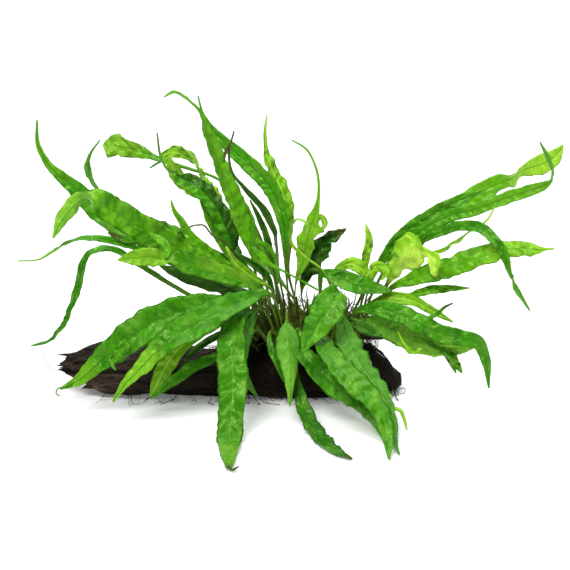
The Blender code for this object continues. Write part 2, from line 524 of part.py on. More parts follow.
def make_rhizome(name, points, collection, materials):
    curve = bpy.data.curves.new(name, "CURVE")
    curve.dimensions = "3D"
    curve.bevel_depth = RHIZOME_RADIUS * MM
    curve.bevel_resolution = RHIZOME_ROUNDING
    curve.use_fill_caps = True
    spline = curve.splines.new("POLY")
    spline.points.add(len(points) - 1)
    for place, (x, y) in zip(spline.points, points):
        place.co = (x * MM, y * MM, RHIZOME_Z * MM, 1.0)
    curve.materials.append(materials["rhizome_bark"])
    strand = bpy.data.objects.new(name, curve)
    collection.objects.link(strand)
    return strand


def main():
    clear_scene()
    kept, cutters = make_collections()
    materials = make_materials()
    make_driftwood(kept, cutters, materials)
    make_root_mat(kept, cutters, materials)
    for name, points in STRANDS.items():
        make_rhizome(name, points, kept, materials)
    for row in LEAVES:
        make_leaf(row, kept, materials)


main()
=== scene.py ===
"""A java fern on driftwood, dressed for its photograph: fine leaves, log, roots, floor and light."""

import math
import random

import bpy
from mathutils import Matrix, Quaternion, Vector, noise

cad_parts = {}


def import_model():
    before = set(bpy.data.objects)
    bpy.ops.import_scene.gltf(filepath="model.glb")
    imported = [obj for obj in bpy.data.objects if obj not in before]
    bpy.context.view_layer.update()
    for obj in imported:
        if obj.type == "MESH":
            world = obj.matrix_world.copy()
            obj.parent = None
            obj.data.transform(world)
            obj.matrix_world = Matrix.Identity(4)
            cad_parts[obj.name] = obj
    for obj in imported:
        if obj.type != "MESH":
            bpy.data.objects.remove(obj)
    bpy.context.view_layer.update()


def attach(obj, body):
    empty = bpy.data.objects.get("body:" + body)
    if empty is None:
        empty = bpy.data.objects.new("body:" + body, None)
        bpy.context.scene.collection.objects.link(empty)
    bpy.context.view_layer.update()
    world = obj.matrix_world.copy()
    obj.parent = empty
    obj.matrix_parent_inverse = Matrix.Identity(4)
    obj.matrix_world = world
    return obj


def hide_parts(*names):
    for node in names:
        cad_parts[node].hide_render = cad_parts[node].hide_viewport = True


MM = 0.001

# The front view that the leaf routes are given in, mm
EYE_RISE = math.radians(18.0)
EYE_DISTANCE = 1000.0
EYE_ACROSS = 27.5
EYE_UP = 51.5
VIEW_SPAN = 285.0
SENSOR = 36.0
RIGHT = Vector((1.0, 0.0, 0.0))
UPWARD = Vector((0.0, math.sin(EYE_RISE), math.cos(EYE_RISE)))
AHEAD = Vector((0.0, math.cos(EYE_RISE), -math.sin(EYE_RISE)))
EYE = RIGHT * EYE_ACROSS + UPWARD * EYE_UP - AHEAD * EYE_DISTANCE
FLOOR = "floor"

# Leaves, mm
GAP = 0.35
LEAF_THICKNESS = 0.7
PETIOLE_WIDTH = 1.3
PETIOLE_RISE = 2.5
ROUTE_STEPS = 12
TIP_WIDTH = 0.8
FLOOR_CLEARANCE = 1.4
FLOOR_TOUCH = 0.25
LEAF_STEP = 0.9
LEAF_COLUMNS = 16
COLUMN_CROWDING = 0.35
FRAME_SMOOTHING = 4
BLADE_FROM = 1.4
BLADE_FULL = 3.2
BLADE_SKIN = 0.17
STALK_ROUNDNESS = 0.42
MIDRIB_WIDTH = 0.42
MIDRIB_DEPTH = 0.30
FOLD = math.radians(9.0)
ARCH = 0.12
WAVE_SHARE = 0.17
MARGIN_SHARE = 0.05
SCALLOP = 0.22
SWAY = 0.55
TWIST = math.radians(16.0)
STALK_WIDTHS = (1.8, 4.0)
STALK_SHARES = (0.3, 0.6)
VEIN_SPACING = 4.6
VEIN_SLANT = 0.6
BLISTER_HEIGHT = 1.15
BLISTER_LONG = 2.6
NICK_SHARE = 0.035

RHIZOME_RADIUS = 2.3
RHIZOME_Z = 27.4

# Rhizome strands: name and axis points (x, y)
STRANDS = {
    "rhizome_middle": [(7, 1.5), (22, 2.5), (40, 2.0), (58, 2.8), (72, 2.0), (86, 3.0)],
    "rhizome_front": [(17, -4.0), (24, -7.0), (36, -8.5), (50, -8.0), (63, -8.5)],
    "rhizome_back": [(11, 8.0), (20, 11.0), (34, 12.0), (52, 11.5), (68, 12.5), (78, 11.5)],
}

# Driftwood sections: x, underside z, top z, front y, back y
WOOD_SECTIONS = [
    (-85, 10.5, 14.5, -6, 1),
    (-80, 8.5, 18.0, -10, 6),
    (-74, 6.5, 20.5, -13, 9),
    (-69, 3.0, 22.5, -15, 12),
    (-63, -1.0, 24.0, -17, 14),
    (-50, -2.5, 24.0, -18, 16),
    (-34, -2.5, 23.0, -18, 17),
    (-14, -2.5, 18.5, -17, 17),
    (4, -2.5, 19.5, -18, 17),
    (22, -2.5, 21.5, -19, 18),
    (42, -2.5, 22.0, -19, 19),
    (60, -2.5, 21.5, -18, 18),
    (71, -2.0, 20.5, -16, 16),
    (78, -1.0, 14.5, -13, 13),
    (83, -0.5, 8.0, -9, 9),
    (85.5, 1.5, 4.5, -5, 5),
]

# Ridges along the log: share of its radius, count around it, mm along it per radian of turn
WOOD_RIDGES = [(0.035, 5.0, 13.0), (0.025, 8.0, -9.0)]
MAT_CENTRE = Vector((37.5, 1.0, 13.6))
MAT_RADII = Vector((39.0, 21.5, 10.8))
WOOD_SQUARENESS = 0.35

# Leaves: name, material, strand it grows from, place along it, side it leaves on in degrees
# (minus in front, plus behind), the way its blade faces (turn to the right, lift above the
# horizon), then route points of across, up, away and blade width
LEAVES = [
    ("leaf_left_1", "leaf_deep", "rhizome_back", 14, -30, (-22, 35), [
        (10, 50, 13, 1.6), (-10, 60, 17, 7.4), (-33, 71, 22, 11.6), (-65, 89, 27, 12.2),
        (-79, 101, 29, 7.5), (-91, 112, 31, 3.8), (-96, 122, 33, 2.4), (-96.5, 134, 36, 1)]),
    ("leaf_left_2", "leaf_fresh", "rhizome_middle", 12, -20, (-5, 30), [
        (9, 52, 1, 2), (-15, 63, 1, 9), (-32, 72.5, 0, 13.5), (-50, 83, -4, 14),
        (-65, 92, -9, 12), (-73, 95, -13, 8.5), (-78.5, 91, -16, 8), (-83.5, 85, -19, 6.5),
        (-88.5, 75, -21, 1)]),
    ("leaf_left_3", "leaf_deep", "rhizome_back", 17, 40, (0, 30), [
        (12, 52, 20, 2), (-32, 77, 30, 7), (-53, 89, 36, 6), (-63, 96, 39, 3.4), (-68.5, 102.5, 42, 2.4),
        (-71, 109.5, 44, 3.6), (-70, 116.5, 46, 1.8), (-65, 124, 49, 0.8)]),
    ("leaf_left_4", "leaf_fresh", "rhizome_front", 24.5, -25, (0, 38), [
        (15, 49, -11, 3), (-2, 56, -14, 9.5), (-15, 60.5, -17, 10.5), (-26, 63, -19, 9.5),
        (-33, 64, -20, 7.5), (-40, 65.5, -22, 9), (-48, 65, -25, 7.5), (-56, 64, -27, 1)]),
    ("leaf_left_5", "leaf_deep", "rhizome_middle", 8, -50, (0, 30), [
        (4, 50, -1, 1.4), (-18, 57, -5, 1.8), (-40, 67, -9, 2.6), (-53, 72, -14, 3.4),
        (-62, 74.3, -15, 3.6), (-72.5, 75, -16, 3.4), (-81.5, 72.5, -17, 3), (-88.5, 68.5, -18, 2.2),
        (-95, 64.5, -19, 1.2), (-106, 63.5, -20, 0.8)]),
    ("leaf_left_6", "leaf_deep", "rhizome_middle", 11, -85, (-15, 20), [
        (5, 41, -11, 1.4), (-12, 43, -14, 1.6), (-29, 51.5, -16, 2.5), (-47.5, 63, -18, 3.2),
        (-61, 70, -20, 3.6), (-70, 67.5, -22, 3.6), (-76.5, 49, -27, 4.4), (-83.5, 31.5, -31, 4.6),
        (-90, 24, -32, 3), (-99.5, 21, -33, 0.8)]),
    ("leaf_left_7", "leaf_dark", "rhizome_middle", 15, -70, (0, 40), [
        (13, 45, -5, 2), (2, 49, -7, 7), (-12, 54, -10, 9), (-27, 58, -12, 6), (-35, 61, -13, 1)]),
    ("leaf_left_8", "leaf_fresh", "rhizome_back", 21, -60, (0, 20), [
        (10, 54, 8, 1.8), (-2.5, 62, 9, 4), (-12.5, 69, 10, 6), (-20, 76, 11, 5),
        (-24, 83, 12, 3.5), (-28, 89, 13, 2), (-29.5, 94, 14, 0.8)]),
    ("leaf_left_9", "leaf_pale", "rhizome_middle", 22, -20, (0, 30), [
        (20, 50, -2, 1.5), (12, 55, -4, 4), (3, 62, -5, 4.5), (-2, 70.5, -6, 1)]),
    ("leaf_low_left_1", "leaf_deep", "rhizome_middle", 19, -45, (-10, 38), [
        (11, 43, -13, 2), (-7.5, 42.5, -22, 9), (-25, 37.5, -28, 15), (-40, 31, -32, 17),
        (-54, 21.5, -34, 14.5), (-65, 13, -35, 10.5), (-76, 3.5, -35, 5.5), (-85, -0.5, -36, 1)]),
    ("leaf_low_left_2", "leaf_deep", "rhizome_front", 27, -55, (-8, 38), [
        (19, 47.5, -15, 2.5), (5, 43, -25, 11), (-10, 36, -35, 15.5), (-22, 29, -41, 15.5),
        (-34, 20.5, -46, 12), (-46, 8.5, -48, 7.5), (-53, 1, -49, 5), (-58.5, -7, -49, 1)]),
    ("leaf_low_left_3", "leaf_pale", "rhizome_front", 18, -30, (-10, 20), [
        (10, 39, -15, 1.6), (-8, 30, -24, 3), (-24, 21, -25, 7), (-32, 11, -26, 8.5),
        (-36.5, 2, -26, 6.5), (-40, -4.5, -26, 1)]),
    ("leaf_low_left_4", "leaf_dark", "rhizome_front", 18.5, -80, (0, 30), [
        (10, 33, -17, 1.5), (0, 29, -22, 3), (-11, 23.5, -24, 3.5), (-19, 17.5, -24, 3),
        (-24.5, 10, -24, 0.8)]),
    ("leaf_low_left_5", "leaf_deep", "rhizome_front", 20.5, -88, (0, 35), [
        (13, 29, -20, 1.5), (4, 23, -26, 2.5), (-6.5, 16, -29, 4.5), (-20, 9.5, -31, 6),
        (-31, 1.5, -33, 5), (-39.5, -5, -34, 1)]),
    ("leaf_top_1", "leaf_fresh", "rhizome_back", 24, 60, (0, 25), [
        (22, 56, 27, 1.4), (13, 80, 33, 1.4), (3, 98, 39, 1.5), (-8, 105.5, 42, 1.6), (-20, 109.5, 45, 1.8),
        (-32.5, 113.5, 48, 2.6), (-40, 116, 50, 4.5), (-47.5, 119, 53, 8), (-54.5, 120.5, 55, 10.5),
        (-60, 121.5, 57, 9.5), (-63, 122.3, 58, 4)]),
    ("leaf_top_2", "leaf_deep", "rhizome_back", 24, -50, (30, 15), [
        (15, 52, 12, 1.8), (3, 66, 14, 6.5), (-2, 80, 16, 9.7), (-8, 92, 18, 10.8), (-16, 100, 20, 10.3),
        (-26, 105.5, 23, 7), (-31, 109, 24, 3.6), (-34, 114, 25, 2), (-36.5, 127.5, 28, 0.8)]),
    ("leaf_top_3", "leaf_fresh", "rhizome_back", 19, 20, (-15, 20), [
        (11, 57, 18, 2), (0, 67, 20, 5), (-6, 77, 22, 6), (-10.5, 87, 24, 5.5), (-15.5, 96, 25, 1)]),
    ("leaf_top_4", "leaf_pale", "rhizome_back", 21, 20, (0, 20), [
        (15, 60, 22, 1.4), (0, 86, 27, 3), (-9, 99, 30, 5), (-15, 108, 33, 5),
        (-20, 116, 35, 4.5), (-26, 119, 35, 4), (-33, 116.5, 34, 1)]),
    ("leaf_top_5", "leaf_pale", "rhizome_back", 27, 60, (-10, 20), [
        (20, 60, 30, 1.4), (0, 86, 35, 2.5), (-16, 98, 38, 6), (-25, 105, 40, 8),
        (-29, 111, 41, 6), (-31, 117, 42, 1)]),
    ("leaf_top_6", "leaf_fresh", "rhizome_middle", 24, -10, (22, 18), [
        (21, 50, 2, 1.6), (12, 66, 4, 3.7), (7, 81, 6, 8), (0, 99, 6, 8.5), (-6, 114, 4, 7.4),
        (-12, 129, 0, 5.3), (-16, 139, -4, 3), (-22, 145, -7, 2.3), (-28.5, 148, -9, 2),
        (-33, 145.5, -10, 0.8)]),
    ("leaf_top_7", "leaf_deep", "rhizome_back", 30, -20, (-25, 20), [
        (28, 60, 14, 1.6), (27.5, 74, 17, 3.8), (25, 90, 21, 7), (19, 102, 25, 8.1),
        (10, 111.5, 29, 8.1), (1, 119.5, 33, 7), (-8, 128.5, 37, 3.9), (-13.5, 137, 40, 1.6),
        (-16, 146, 43, 0.8)]),
    ("leaf_top_8", "leaf_dark", "rhizome_middle", 28, 20, (10, 18), [
        (24, 60, 6, 1.5), (22, 78, 5, 3.5), (16, 90.5, 3, 3.5), (8, 99, 1, 2.5),
        (1, 108, -2, 1.6), (-0.5, 117, -5, 1.4), (2, 128.5, -8, 0.8)]),
    ("leaf_top_9", "leaf_dark", "rhizome_middle", 27, 60, (0, 18), [
        (23, 52, 10, 1.5), (20, 70, 12, 3), (15.5, 83, 12, 3), (10, 94, 13, 0.8)]),
    ("leaf_top_10", "leaf_pale", "rhizome_back", 34, 10, (25, 18), [
        (29, 60, 22, 1.8), (29.5, 73, 27, 3.2), (28.5, 87, 32, 6.9), (26, 98, 37, 8.5),
        (21.5, 108, 41, 8), (18, 119, 45, 2.8), (17.5, 128, 48, 1.8), (18.5, 136.5, 51, 0.8)]),
    ("leaf_top_11", "leaf_fresh", "rhizome_middle", 33, -30, (-15, 18), [
        (33.5, 55, -2, 1.8), (36.5, 63, -3, 6), (38, 72, -6, 8.5), (41, 82, -8, 6.5),
        (44, 93, -12, 2.4), (43, 110, -18, 1.3), (38.5, 119, -22, 1.1), (31, 124, -28, 0.8)]),
    ("leaf_top_12", "leaf_pale", "rhizome_front", 47, 10, (0, 20), [
        (51, 48.5, -11, 1.2), (46, 59, -12, 1.2), (37, 66, -13, 1.3), (31, 72, -14, 2.2),
        (30, 79, -14, 4), (34, 84.5, -15, 5), (38.5, 82, -16, 3.5), (37.5, 77, -17, 1)]),
    ("leaf_top_13", "leaf_dark", "rhizome_middle", 38, 30, (15, 25), [
        (36, 50, 6, 2), (38.5, 58, 7, 8), (43, 66, 8, 10), (49, 74, 9, 7), (53.5, 77, 11, 5),
        (58, 79.5, 13, 1)]),
    ("leaf_front_1", "leaf_fresh", "rhizome_front", 21.5, -35, (0, 70), [
        (14, 45, -13, 1.8), (7, 40, -22, 6), (1, 28, -34, 12), (1, 14, -45, 14.5),
        (1.5, 1.5, -54, 14), (1, -11, -61.5, 12.5), (0, -21.5, -68, 12.5), (-0.5, -31, FLOOR, 9.5),
        (-0.5, -40, FLOOR, 3)]),
    ("leaf_front_2", "leaf_deep", "rhizome_front", 24, -65, (0, 30), [
        (14, 39.5, -18, 2), (8, 31.5, -23, 9), (6, 21, -28, 8), (6, 10.5, -31, 5),
        (9, 2.5, -32, 3.6), (13.5, -4, -32, 1)]),
    ("leaf_front_3", "leaf_fresh", "rhizome_front", 31, -35, (0, 30), [
        (28.5, 38, -14, 1.6), (28.5, 33, -19, 2.6), (28.7, 29.5, -23, 8.5), (29, 25, -27, 12.5),
        (29.5, 19, -31, 12.5), (30, 11, -37, 8.5), (30, 3, -43, 5), (30, -9, -48, 1)]),
    ("leaf_front_4", "leaf_deep", "rhizome_front", 29, -80, (0, 30), [
        (20, 28, -18, 1.6), (20.5, 20, -24, 3.6), (23.5, 13, -28, 3.6), (27, 3, -30, 0.8)]),
    ("leaf_front_5", "leaf_deep", "rhizome_front", 51, -40, (0, 35), [
        (54.5, 48, -17, 3), (53.5, 47, -21, 10), (51, 43, -25, 15), (47.5, 37, -30, 16),
        (43, 30, -35, 13), (38.5, 22.5, -40, 6.5), (36, 17.5, -43, 1)]),
    ("leaf_front_6", "leaf_deep", "rhizome_front", 33.5, -70, (5, 77), [
        (30.5, 32, -16, 1.4), (30.5, 20, -23, 2), (33.5, 4, -33, 3.5), (36.5, -9, -45, 7),
        (43, -22, FLOOR, 9), (52.5, -31, FLOOR, 7), (61, -35.5, FLOOR, 1)]),
    ("leaf_front_7", "leaf_deep", "rhizome_front", 38, -75, (15, 40), [
        (34.5, 29, -19, 3), (35, 19, -27, 8), (42, 10.5, -34, 11.5), (50, 3, -40, 12),
        (60, -4.5, -46, 11), (68, -10.5, -53, 9), (74, -18.5, -63, 5.5), (77, -26, FLOOR, 1)]),
    ("leaf_front_8", "leaf_fresh", "rhizome_front", 42, -55, (15, 60), [
        (43, 33, -20, 2.5), (45, 25, -32, 8), (53, 13, -48, 12.5), (61, 4, -57, 13.5),
        (70, -5.5, -65, 12.5), (76, -14, -72, 9.5), (78.5, -24, -80, 6), (79.5, -35.5, FLOOR, 1)]),
    ("leaf_front_9", "leaf_deep", "rhizome_front", 55, -60, (25, 60), [
        (56, 37, -17, 2.5), (58, 27, -27, 12), (64, 14.5, -38, 13.5), (71, 4, -46, 11.5),
        (77.5, -6, -54, 8.5), (81, -15, -60, 6), (82, -25, -71.5, 3.5), (84.5, -33, FLOOR, 1)]),
    ("leaf_right_1", "leaf_pale", "rhizome_middle", 48, -20, (0, 35), [
        (51.5, 50, 1, 1.6), (54, 59, 1, 4), (60, 62, 0, 6.5), (66, 59, -1, 6.5), (70, 51, -2, 1)]),
    ("leaf_right_2", "leaf_pale", "rhizome_middle", 60, 10, (10, 20), [
        (67, 50, 4, 1.8), (67.5, 63, 5, 4), (69.5, 74, 5, 4), (68, 82, 5, 0.8)]),
    ("leaf_right_3", "leaf_pale", "rhizome_middle", 70, -15, (0, 20), [
        (77, 50, 0, 1.6), (80.5, 56, -0.5, 6), (84, 63.5, -1, 10), (88.5, 69.5, -3, 11), (94, 69.5, -8, 10),
        (98.5, 65.5, -13, 8), (102, 61, -18, 7.5), (103.5, 54.5, -21, 1)]),
    ("leaf_right_4", "leaf_fresh", "rhizome_back", 66, -30, (15, 30), [
        (73, 58, 12, 2), (85, 73.5, 14, 9), (100, 83, 18, 11), (115, 91, 22, 10.5), (128, 99, 26, 9.5),
        (137, 103.5, 28, 8), (141.5, 105.5, 29, 4.5), (147, 109, 31, 7), (157, 112.5, 33, 10),
        (162, 115.5, 34, 8), (166.5, 121.5, 35, 1)]),
    ("leaf_right_5", "leaf_deep", "rhizome_middle", 64, 40, (20, 30), [
        (72, 58, 8, 2), (85, 75.5, 9, 6), (100, 86, 11, 7), (113, 93, 13, 6), (126, 98.5, 15, 1)]),
    ("leaf_right_6", "leaf_deep", "rhizome_middle", 67, 10, (5, 35), [
        (75, 55, 5, 1.6), (86, 70, 4.5, 3), (97, 79.5, 3, 5), (110, 86, 1, 6.5), (122, 89, -2, 6),
        (134, 93.5, -6, 7), (146, 97.5, -10, 6), (155, 100.5, -13, 5), (160.5, 104, -15, 3),
        (161.5, 108, -16, 2.2), (159.5, 114, -17, 2.6), (155, 123, -20, 0.8)]),
    ("leaf_right_7", "leaf_deep", "rhizome_middle", 74, 25, (10, 30), [
        (81, 57, 4, 1.5), (90, 69, 3, 1.8), (97, 74, -2, 2.8), (107, 78.5, -8, 4.6), (117, 81, -13, 5.4),
        (125, 80, -18, 5.4), (133, 73, -24, 5), (138, 64.5, -28, 4.2), (140.5, 57.5, -30, 3),
        (142.5, 51, -31, 4), (146, 45, -32, 2.2), (150, 38.5, -32, 0.8)]),
    ("leaf_right_8", "leaf_fresh", "rhizome_middle", 76, -35, (10, 38), [
        (80, 49.5, -3, 2.4), (90, 54, -5, 6.5), (101, 58, -9, 10), (112.5, 61.5, -13, 11.5),
        (125, 65.5, -17, 11), (139, 69.5, -21, 9), (149, 69.5, -24, 7), (154.5, 69, -25, 4),
        (157, 69.3, -25.5, 2), (162, 69.7, -27, 1)]),
    ("leaf_right_9", "leaf_fresh", "rhizome_middle", 81, -40, (0, 40), [
        (86, 43, -3, 1.6), (92.5, 47, -6, 3.8), (108, 49.5, -9, 4.4), (119.5, 50, -10, 0.8)]),
    ("leaf_right_10", "leaf_pale", "rhizome_front", 61, 40, (5, 40), [
        (70, 42, -8, 2), (80, 45, -11, 5.5), (91, 43.5, -13, 6), (101, 38.5, -15, 4.5),
        (111.5, 33, -16, 1)]),
    ("leaf_right_11", "leaf_deep", "rhizome_front", 59, -10, (10, 42), [
        (63, 38, -13, 2.5), (75, 39.5, -18, 8), (86, 36.5, -22, 9.5), (96, 31.5, -25, 9.5),
        (106, 27, -27, 9), (116, 25, -29, 8), (124, 22.5, -30, 6.5), (127.5, 15, -31, 5),
        (129.5, 0, -32, 1)]),
    ("leaf_right_12", "leaf_fresh", "rhizome_front", 62, -50, (10, 45), [
        (66, 34, -13, 3), (74, 31.5, -15, 9), (84, 27.5, -17, 11.5), (94, 23, -19, 11),
        (104, 20.5, -20, 9), (115, 20, -20, 6), (123.5, 21, -20, 1)]),
    ("leaf_right_13", "leaf_deep", "rhizome_middle", 43, -30, (0, 45), [
        (45, 48, -3, 1.6), (46.5, 57, -5, 4), (54, 55, -8, 9), (63, 51.5, -10, 10),
        (73, 49.5, -11, 7), (81, 48.5, -12, 1)]),
    ("leaf_back_1", "leaf_deep", "rhizome_back", 14, 60, (-20, 60), [
        (7, 54, 24, 1.6), (-8, 64, 36, 8), (-24, 73, 48, 11), (-40, 81, 58, 9), (-54, 87, 66, 1)]),
    ("leaf_back_2", "leaf_fresh", "rhizome_back", 37, 60, (0, 55), [
        (28, 50, 30, 1.6), (15, 66, 44, 8), (6, 84, 56, 10), (2, 96, 66, 8), (-4, 106, 76, 1)]),
    ("leaf_back_3", "leaf_deep", "rhizome_back", 75, 40, (20, 60), [
        (81, 56, 24, 1.6), (88, 68, 36, 8), (98, 79, 48, 11), (110, 88, 58, 9), (122, 94, 67, 1)]),
    ("leaf_back_4", "leaf_deep", "rhizome_back", 17, 80, (180, 40), [
        (10, 36, 20, 1.8), (5, 33, 32, 8), (3, 28, 41, 11), (2, 24, 47, 9), (1, 20, 51, 1)]),
    ("leaf_back_5", "leaf_deep", "rhizome_back", 58, 80, (180, 40), [
        (56, 40, 22, 1.8), (58, 36, 33, 8), (60, 31, 41, 11), (61, 26, 46, 9), (62, 20, 50, 1)]),
]

# Small pieces that only the dressed plant has: name, slot, way its blade faces, points of
# across, up, away and blade width
SCRAPS = [
    ("scrap_pale_fold", "leaf_pale", (0, 25), [
        (67, 49, -6, 1.2), (70, 56, -7, 4), (74, 61, -8, 5.5), (78, 59, -9, 4.5), (76, 54, -9, 1)]),
    ("scrap_thread_right", "leaf_pale", (0, 30), [
        (98, 66, -8, 1.6), (103, 68, -6, 2.2), (106, 68.8, -7, 2.4), (108.5, 70.3, -7, 2.8),
        (110.5, 72, -7, 1.6), (114, 73.5, -8, 2.4), (117.3, 76.3, -8, 1.1), (121, 79, -9, 1.2),
        (125, 81.3, -9, 0.9), (127.5, 83, -10, 1.3), (130, 86, -10, 1.0), (132.3, 90.5, -11, 0.7)]),
    ("scrap_curl_right", "leaf_deep", (0, 40), [
        (84, 40, -10, 1.2), (97.5, 34.5, -19, 2.4), (103.5, 37, -19, 2.2), (107.5, 40.5, -20, 1.6),
        (111.5, 42.5, -20, 0.8)]),
    ("scrap_plantlet_1", "leaf_pale", (0, 40), [
        (84, 28, -20, 0.9), (88, 20.5, -22, 2.6), (90, 18, -23, 3.6), (93, 18, -24, 3.2), (96, 20, -24, 1.0)]),
    ("scrap_plantlet_2", "leaf_fresh", (0, 40), [
        (92, 26, -21, 0.9), (103, 19.5, -22, 1.8), (109, 17.5, -23, 4.2), (112, 13.5, -24, 4.4),
        (114.5, 10, -24, 3.0), (116, 7.5, -25, 0.8)]),
    ("scrap_plantlet_3", "leaf_deep", (0, 40), [
        (96, 25, -21, 0.8), (105.5, 19, -22, 1.2), (109.5, 13.5, -23, 1.8), (112, 9.5, -24, 1.6),
        (113, 7.5, -24, 0.7)]),
    ("scrap_curl_low", "leaf_pale", (0, 45), [
        (80, -3, -50, 0.9), (81.5, -10, -52, 2.0), (85, -11, -53, 2.0), (87, -15, -54, 1.6),
        (88.5, -22, -56, 0.8)]),
    ("scrap_dark_low", "leaf_dark", (0, 30), [
        (55, 34, -17, 1.0), (61, 33, -20, 4), (70, 28.5, -22, 5), (76, 26, -23, 1)]),
    ("scrap_tendril_brown", "leaf_dark", (0, 30), [
        (10, 52, 6, 1.1), (-3, 73, 9, 0.9), (-9, 76.5, 11, 0.9), (-13.5, 81.5, 12, 0.9),
        (-16, 81.5, 13, 0.9), (-19, 81, 13, 0.9), (-22.5, 78.5, 14, 0.9), (-26, 77.5, 15, 0.9),
        (-30, 79, 16, 0.8), (-32.5, 83, 17, 0.7)]),
    ("scrap_strip_light", "leaf_fresh", (0, 30), [
        (14, 50, 4, 1.2), (11, 71.5, 5, 2.0), (11.5, 78, 5, 2.2), (11.5, 84, 5, 1.8),
        (10, 88, 5, 1.2), (9, 91, 5, 0.7)]),
    ("scrap_petiole_blade", "leaf_fresh", (0, 30), [
        (44, 49, -12, 1.1), (35, 54, -13, 1.1), (26.5, 58.5, -13, 1.2), (20, 62, -13, 2.2),
        (15, 67, -13, 3.2), (11, 70.5, -13, 0.8)]),
    ("scrap_strip_middle", "leaf_fresh", (0, 30), [
        (24, 52, -6, 1.1), (21, 68, -7, 2.2), (19, 70.5, -7, 2.6), (16, 72.5, -7, 2.2),
        (12.5, 72.5, -8, 0.8)]),
    ("scrap_dark_middle", "leaf_dark", (0, 30), [
        (22, 48, 1, 1.1), (19, 55, 0, 3), (10, 63, -1, 3.2), (2.5, 68, -2, 0.8)]),
    ("scrap_flap_top", "leaf_pale", (0, 25), [
        (43.5, 82, -7, 1.0), (45, 86, -7, 2.6), (47.5, 82, -7, 2.8), (45.5, 78.5, -8, 0.8)]),
    ("scrap_curl_top", "leaf_pale", (0, 20), [
        (-20, 114, 34, 1.2), (-25, 117, 33, 4.2), (-30, 117.5, 32, 5.0), (-33.5, 115.5, 31, 3.4),
        (-32, 112, 31, 0.8)]),
    ("scrap_fold_left", "leaf_deep", (0, 30), [
        (-61, 78, -14, 1.2), (-57, 75.8, -14, 3.0), (-52.5, 74.3, -14, 3.4), (-47, 72.5, -13, 1.0)]),
    ("scrap_fold_pale", "leaf_fresh", (0, 30), [
        (-41, 77.5, -9, 1.0), (-36, 75, -12, 3.6), (-32, 71, -15, 4.0), (-31, 67, -18, 2.4),
        (-32, 64.5, -20, 1.0)]),
    ("scrap_thread_low", "leaf_fresh", (0, 30), [
        (-79, 2.5, -36, 1.6), (-83.5, 0.5, -37, 0.9), (-86.3, -0.5, -37, 0.8), (-86.8, -3, -37, 0.7),
        (-85.2, -3.8, -37, 0.5)]),
    ("scrap_plantlet_left", "leaf_fresh", (0, 30), [
        (-50.5, 23, -37, 0.9), (-53, 22, -41, 3.8), (-56, 18, -43, 4.2), (-58.5, 14, -43, 2.2),
        (-58.5, 11, -43, 1.6), (-57, 9, -43, 0.7)]),
    ("scrap_tip_front", "leaf_dark", (0, 60), [
        (-1, -39.5, FLOOR, 1.2), (1.5, -41, FLOOR, 1.3), (3, -40, FLOOR, 1.1), (4.4, -39.3, FLOOR, 0.7)]),
    ("scrap_spike_top", "leaf_deep", (0, 30), [
        (-34, 113.5, 46, 1.0), (-37, 112, 46, 1.2), (-40, 110, 46, 0.7)]),
    ("scrap_fork_brown", "leaf_dark", (0, 30), [
        (0.3, 122, -6.5, 1.2), (-2, 118.5, -5.5, 1.6), (-3.2, 113, -5, 0.8)]),
]

# Turns of a blade about its own middle line: share of the leaf's length and degrees
ROLLS = {
    "leaf_left_2": [(0.0, 0), (0.77, 0), (0.81, 60), (0.84, 120), (0.88, 155), (1.0, 170)],
    "leaf_left_3": [(0.0, 0), (0.6, 0), (0.72, 60), (0.8, 120), (0.87, 180), (0.95, 250), (1.0, 270)],
    "leaf_left_4": [(0.0, 0), (0.68, 0), (0.75, 45), (0.82, -25), (1.0, 0)],
    "leaf_left_5": [(0.0, 0), (0.5, 40), (0.65, -20), (0.8, 50), (1.0, 90)],
    "leaf_left_6": [(0.0, 0), (0.5, 40), (0.7, 10), (1.0, 60)],
    "leaf_low_left_3": [(0.0, 0), (0.6, 10), (1.0, -20)],
    "leaf_top_1": [(0.0, 0), (0.8, 20), (0.9, -15), (1.0, 10)],
    "leaf_top_2": [(0.0, 0), (0.7, 0), (0.84, 60), (1.0, 150)],
    "leaf_top_4": [(0.0, 0), (0.5, 20), (0.8, 90), (1.0, 160)],
    "leaf_top_6": [(0.0, 0), (0.7, 0), (0.9, 60), (1.0, 140)],
    "leaf_top_8": [(0.0, 0), (0.4, 50), (0.6, -30), (0.8, 70), (1.0, 160)],
    "leaf_top_12": [(0.0, 0), (0.5, 20), (0.8, 80), (1.0, 120)],
    "leaf_front_1": [(0.0, 0), (1.0, 0)],
    "leaf_right_4": [(0.0, 0), (0.74, 0), (0.775, 50), (0.8, 62), (0.83, 50), (0.88, 10), (1.0, 0)],
    "leaf_right_6": [(0.0, 0), (0.4, -12), (0.55, 15), (0.66, -12), (0.8, 20), (0.86, 75), (0.93, 140), (1.0, 100)],
    "leaf_right_7": [(0.0, 0), (0.5, 0), (0.78, 10), (0.85, 70), (0.9, 160), (1.0, 200)],
    "leaf_right_8": [(0.0, 0), (0.9, 0), (1.0, 40)],
    "leaf_right_11": [(0.0, 0), (0.25, 20), (0.8, 20), (1.0, 0)],
    "leaf_right_12": [(0.0, 0), (0.25, 28), (0.8, 28), (1.0, 10)],
    "scrap_thread_right": [(0.0, 0), (0.3, 70), (0.5, 10), (0.7, 120), (1.0, 200)],
}

